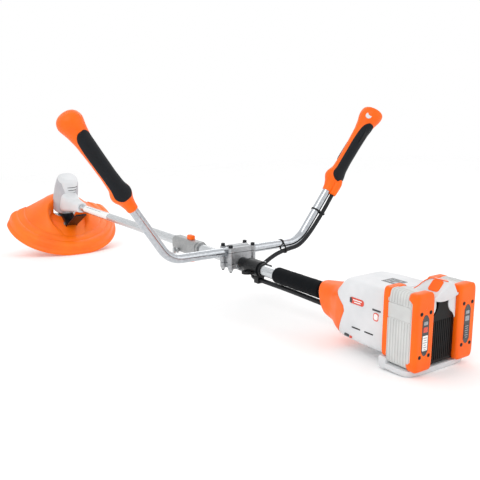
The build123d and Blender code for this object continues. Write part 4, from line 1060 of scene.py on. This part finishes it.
def housing_shell():
    """White body: the skin from the parting back to the packs, closed at the rear."""
    front = body_edge(parting)
    side = front + (BODY_TO - 2 - front) * spread(0.02, 1, 70)[:, None]
    x = np.concatenate([[front, front, front + 0.5], side])
    skin = body_skin(x)
    skin[0] = scaled(skin[0], 0.955)
    skin[1] = scaled(skin[1], 0.994)
    rows = [at(x, skin[..., 0], skin[..., 1])]
    last = body_skin(np.full((1, RING), BODY_TO))
    for station, share in ((BODY_TO - 0.7, 0.992), (BODY_TO, 0.975), (BODY_TO, 0.3)):
        ring = scaled(last, share, 4)
        rows.append(at(station, ring[..., 0], ring[..., 1]))
    piece("housing_shell", [(np.concatenate(rows), False, True)], "machine", "white",
          ("housing_left", "housing_right"), inside=at(170, 0, 0), corner=34)


VENT_X = (158.5, 190.5)
MAKER_MARKS = (  # name, place on a side, size, finish, slot and corner radius: plain bars, no lettering
    ("badge_{}", (157, 58.5, 26), (36, 12, 0.75), "label_red", "orange_plastic", 5),
    ("badge_dark_{}", (142.5, 58.6, 26), (6, 10, 0.9), "label_dark", "black_plastic", 1.5),
    ("badge_bar_{}_1", (159, 58.6, 28), (22, 2.0, 0.95), "label_white", "white_plastic", 0.8),
    ("badge_bar_{}_2", (159, 58.6, 24), (16, 2.0, 0.95), "label_white", "white_plastic", 0.8),
    ("service_mark_{}", (206, 58.6, 22), (20, 3.4, 0.7), "label_dark", "black_plastic", 0.8),
    ("service_shield_{}", (206, 59.0, 10), (13, 15, 1.2), "label_red", "orange_plastic", 5),
    ("service_shield_face_{}", (206, 59.2, 10.4), (9.5, 11, 1.3), "label_white", "white_plastic", 3.5),
)
LOWER_MARKS = (  # the same for the marks low on the sides
    ("lower_mark_{}", (133, 57.2, -44), (12, 5, 1.6), "label_dark", "black_plastic", 1.0),
    ("lower_mark_tip_{}", (144, 57.6, -45), (6, 4, 1.6), "label_red", "orange_plastic", 1.0),
)
DISPLAY_MARKS = (  # middle of each mark from the panel's middle, its width and its height
    (-8, -7, 12, 5), (-8, 2, 12, 3), (8, -6, 9, 9), (8, 8, 5, 5), (-9, 9, 8, 2),
)
PINSTRIPE_POINTS = (  # over the deck and up the ridge to its rear end
    (214, -21, 65.2), (238, -21.5, 64.2), (248, -20, 64.6), (256, -14, 71), (263, -8, 81), (274, -4.4, 88.9),
    (288, -3.6, 89.6), (303, -3.5, 89.6), (311, -3.4, 89.5),
)


def side_plate(sign, name, place, size, finish, slot, radius):
    """A plate on one side of the body, facing out."""
    x, out, z = place
    plate(name, (x, sign * out, z), BACK, sign * RIGHT, size, finish, radius)


def side_marks():
    """Slots, drawn as dark plates that are their painted shade, and printed marks, the same on both sides of
    the body.
    """
    # each vent is a dark plate on the skin: painted shade of its slot
    for index, x in enumerate(VENT_X):
        for sign, word in SIDES:
            side_plate(sign, f"side_vent_{word}_{index + 1}", (x, 59.9, -24), (22, 2.6, 0.45), "recess",
                       "black_plastic", 1.3)
    for marks in (MAKER_MARKS, LOWER_MARKS):
        for sign, word in SIDES:
            for name, *rest in marks:
                side_plate(sign, name.format(word), *rest)


def display():
    """Smoked window on the deck with five plain marks under it."""
    refined("display_panel", "window", "panel_black", 0.3)
    low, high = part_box("display_panel")
    middle = Vector(((low.x + high.x) / 2, (low.y + high.y) / 2, high.z - 0.0001))
    for index, (back, right, width, height) in enumerate(DISPLAY_MARKS):
        centre = middle + Vector((back, right, 0)) * MM
        grid = slab(centre, BACK, RIGHT, UP, (width, height, 0.3), 0.8)
        piece(f"display_mark_{index + 1}", [(grid, False, True)], "machine", "label_grey")


def pinstripe():
    """Thin orange line that runs from the deck up the ridge."""
    points = np.array([at(*point) for point in PINSTRIPE_POINTS])
    line, _ = resampled(smooth_route(points), 0.8)
    piece("ridge_pinstripe", [(carried(line, np.full(len(line), 0.85), 10), False, True)], "machine",
          "orange")


def rear_panel():
    """Black panel between the packs with eleven upright ribs."""
    refined("rear_panel", "panel", "black_plastic", 1.2)
    for index in range(11):
        plate(f"panel_rib_{index + 1}", (299.8, (index - 5) * 5.0, -14), RIGHT, BACK, (2.2, 70, 1.0), "panel",
              1.1)


TRAY_ROWS = (  # height, and how far each level stands out
    (-71.5, -9), (-71, -5), (-69, -1.5), (-66, 0), (-58.6, 0.3), (-58.4, -1.0), (-58.4, -30),
)
FOOT_ROWS = ((-73.6, -6), (-73.5, -1.5), (-72.4, 0), (-60, 0.8))
CORNER_ROWS = ((-70, -6), (-69.5, -1.5), (-67, 0), (-50, 0), (-48.4, -1.6), (-48.2, -6))


def cushion(middle, half_w, half_l, power, rows, count):
    """Loft of rounded rectangles, one for each row, with a flat end below and above."""
    x_mid, y_mid = middle
    levels = []
    for z, grow in rows:
        ring = superellipse(half_w + grow, -half_l - grow, half_l + grow, power, count)
        levels.append(at(x_mid + ring[:, 1], y_mid + ring[:, 0], z))
    ends = [at(np.full(count, x_mid), y_mid, z) for z in (rows[0][0], rows[-1][0])]
    return np.stack([ends[0], *levels, ends[1]])


def base_tray():
    """White floor of the packs: a rounded tray with upturned front corners and a foot in the middle."""
    grids = [cushion((237.5, sign * 63.8), 11, 9.5, 5.0, CORNER_ROWS, 60) for sign in (-1, 1)]
    grids.append(cushion((266, 0), 75.5, 35, 5.0, TRAY_ROWS, 120))
    # the foot's upper end stays open inside the tray
    grids.append(cushion((263, 0), 28.5, 36.5, 6.0, FOOT_ROWS, 96)[:-1])
    piece("pack_tray", [(grid, False, True) for grid in grids], "machine", "white",
          ("base_tray",), corner=40)


def powerhead():
    """Body, bridge, panel, buttons and tray of the rear end."""
    front_collar()
    housing_shell()
    bridge()
    bridge_cheeks()
    side_marks()
    display()
    pinstripe()
    rear_panel()
    for _, word in SIDES:
        refined(f"{word}_release_button", "orange", "orange_plastic", 0.9)
    base_tray()
    refined("status_leds", "lens", "led_lens", 0.2)
    plain("controller_board", "board")


# =====================================================================
# Battery packs
# =====================================================================
PACK_IN, PACK_OUT = 31.8, 75.0
PACK_MID = (PACK_IN + PACK_OUT) / 2
PACK_LOW, PACK_HIGH = -57.5, 76.5
PACK_REAR = 310.0
RIB_PITCH = 6.0
RIB_DEPTH = 1.5
CAPS = {  # rows of depth and inset, base station, way out of the pack, reach of the ears, and lower end
    "front": (((0.3, 2.0), (0.6, 1.8), (1.4, 0.2), (11.0, 0.2), (12.4, 1.4), (13.0, 3.2), (13.0, 12),
               (13.0, 21.98)), 248.0, -1, 2.0, -47.0),
    "rear": (((0.3, 2.2), (0.6, 2.0), (2.0, 0.3), (9.0, 0), (11.2, 1.2), (12.4, 3.0), (12.8, 5.0), (13.0, 8),
              (13.0, 15), (13.0, 21.98)), 297.0, 1, 8.0, PACK_LOW),
}
LABEL_HALF = ((0, 39.5), (3.8, 37.5), (7.4, 31), (7.4, -19), (3.8, -25.5), (0, -27.5))
LABEL_FILM = {"left": ("label_white", "label_red"), "right": ("label_dark", "label_grey")}
LABEL_BARS = ((2, 9), (-2, 7), (-6, 9.5), (-10, 6), (-14, 8.5), (-18, 5))  # height and width
SCREWS = ((42.5, -30), (64.5, -30), (42.5, 44), (64.5, 44))
WELL = ((0, 0.1), (2.9, 0.1), (3.4, 0.35), (3.1, 0.5), (2.5, 0.2), (0, 0.2))
SCREW_HEAD = ((0, 0.2), (2.1, 0.2), (2.2, 0.6), (1.8, 0.85), (0.8, 0.85), (0.7, 0.5), (0, 0.5))


def pack_ring(inset, low=PACK_LOW):
    """Section of a pack drawn in by inset, as distance from its middle plane and height."""
    return superellipse((PACK_OUT - PACK_IN) / 2 - inset, low + inset, PACK_HIGH - inset, 9.0, 260)


def pack_case(sign, word):
    """Case between the caps: upright ribs on its outer face and top, flat behind the latch plate."""
    ring = pack_ring(1.4)
    across, z = ring.T
    on_face = step(across, 12, 17)
    on_top = step(z, 66, 70) * step(across, -2, 4)
    panel = step(z, 24, 26) * (1 - step(z, 52, 54)) * on_face
    ribbed = RIB_DEPTH * np.maximum(on_face, on_top) * (1 - panel) * step(z, -56, -50)
    away = np.stack([np.clip(across / 20.0, -1, 1) ** 7, np.clip((z - 9.5) / 66.0, -1, 1) ** 9], -1)
    away /= np.maximum(np.linalg.norm(away, axis=1, keepdims=True), 1e-6)
    rows = []
    for x in spread(246.5, 299, 140):
        crest = step(0.5 + 0.5 * np.cos(2 * np.pi * (x - 269.7) / RIB_PITCH), 0.25, 0.6)
        level = ring + away * (ribbed * crest - 0.3)[:, None]
        rows.append(at(x, sign * (level[:, 0] + PACK_MID), level[:, 1]))
    piece(f"{word}_pack_shell", [(np.stack(rows), False, True)], f"{word}_pack", "pack",
          (f"{word}_pack_case", f"{word}_pack_cells"), inside=at(270, sign * 53, 10), corner=32)
    plate(f"{word}_latch_plate", (270, sign * (PACK_OUT - 1.9), 39), BACK, sign * RIGHT, (52, 25, 1.2),
          "pack", 3.5, f"{word}_pack")


def bumper(sign, word, end):
    """Cap of tough orange plastic over one end of the pack, chamfered, with ears over its corners."""
    rows, base, way, ear, low = CAPS[end]
    grid = []
    for depth, inset in rows:
        ring = pack_ring(inset - 0.4, low)
        reach = step(np.abs(ring[:, 1] - 9.5), 50, 56) * ear * (1 - step(depth, 0.5, 6.0))
        grid.append(at(base + way * (depth - reach), sign * (ring[:, 0] + PACK_MID), ring[:, 1]))
    piece(f"{word}_pack_{end}_cap", [(np.stack(grid), False, True)], f"{word}_pack", "orange",
          (f"{word}_pack_{end}_bumper",), inside=at(base + way * 5, sign * PACK_MID, 10),
          corner=36)


def rear_plate(sign, word, name, lift, z, size, finish, radius):
    """A plate in the middle of a pack's rear cap."""
    place = (PACK_REAR + lift, sign * PACK_MID, z)
    plate(f"{word}_label_{name}", place, RIGHT, BACK, size, finish, radius, f"{word}_pack")


def pack_label(sign, word):
    """Long lozenge window with a printed film: a dark upper half and a lower half of bars, no lettering."""
    outline = np.array(LABEL_HALF + tuple((-y, z) for y, z in LABEL_HALF[-2:0:-1]), float)
    rows = []
    for share, lift in ((1.06, -0.6), (1.06, 0.45), (1.0, 0.45), (0.98, 0.2), (0.0, 0.2)):
        y, z = ((outline - [0, 6]) * share + [0, 6]).T
        rows.append(at(PACK_REAR + lift, sign * PACK_MID + y, z))
    piece(f"{word}_label_frame", [(np.stack(rows), False, True)], f"{word}_pack", "label_dark",
          corner=20)
    film, mark = LABEL_FILM[word]
    rear_plate(sign, word, "pale", 0.1, -7, (12.2, 26, 0.5), film, 1.0)
    rear_plate(sign, word, "mark", 0.1, 16, (10.5, 9, 0.55), mark, 1.5)
    rear_plate(sign, word, "badge", 0.1, 27, (9.5, 6, 0.55), "label_grey", 1.5)
    for index, (z, width) in enumerate(LABEL_BARS):
        size = (width, 1.3, 0.35)
        rear_plate(sign, word, f"bar_{index + 1}", 0.4, z, size, "label_grey", 0.5)


def pack_screws(sign, word):
    """Four countersunk screws on the rear cap, each on a dark disc that is the painted shade of its well."""
    for index, (y, z) in enumerate(SCREWS):
        centre = at(PACK_REAR, sign * y, z)
        well = turned(centre, BACK, np.array(WELL) * MM, 24)
        piece(f"{word}_screw_well_{index + 1}", [(well, False, True)], f"{word}_pack", "recess")
        head = turned(centre, BACK, np.array(SCREW_HEAD) * MM, 20)
        piece(f"{word}_pack_screw_{index + 1}", [(head, False, True)], f"{word}_pack", "black_steel")


def packs():
    """The left and the right battery pack, each on its own body."""
    for sign, word in SIDES:
        pack_case(sign, word)
        bumper(sign, word, "front")
        bumper(sign, word, "rear")
        pack_label(sign, word)
        pack_screws(sign, word)


camera()
control_conduit()
conduit_gland()
studio()
boom_parts()
foam_grip()
grips()
cutter_head()
powerhead()
packs()
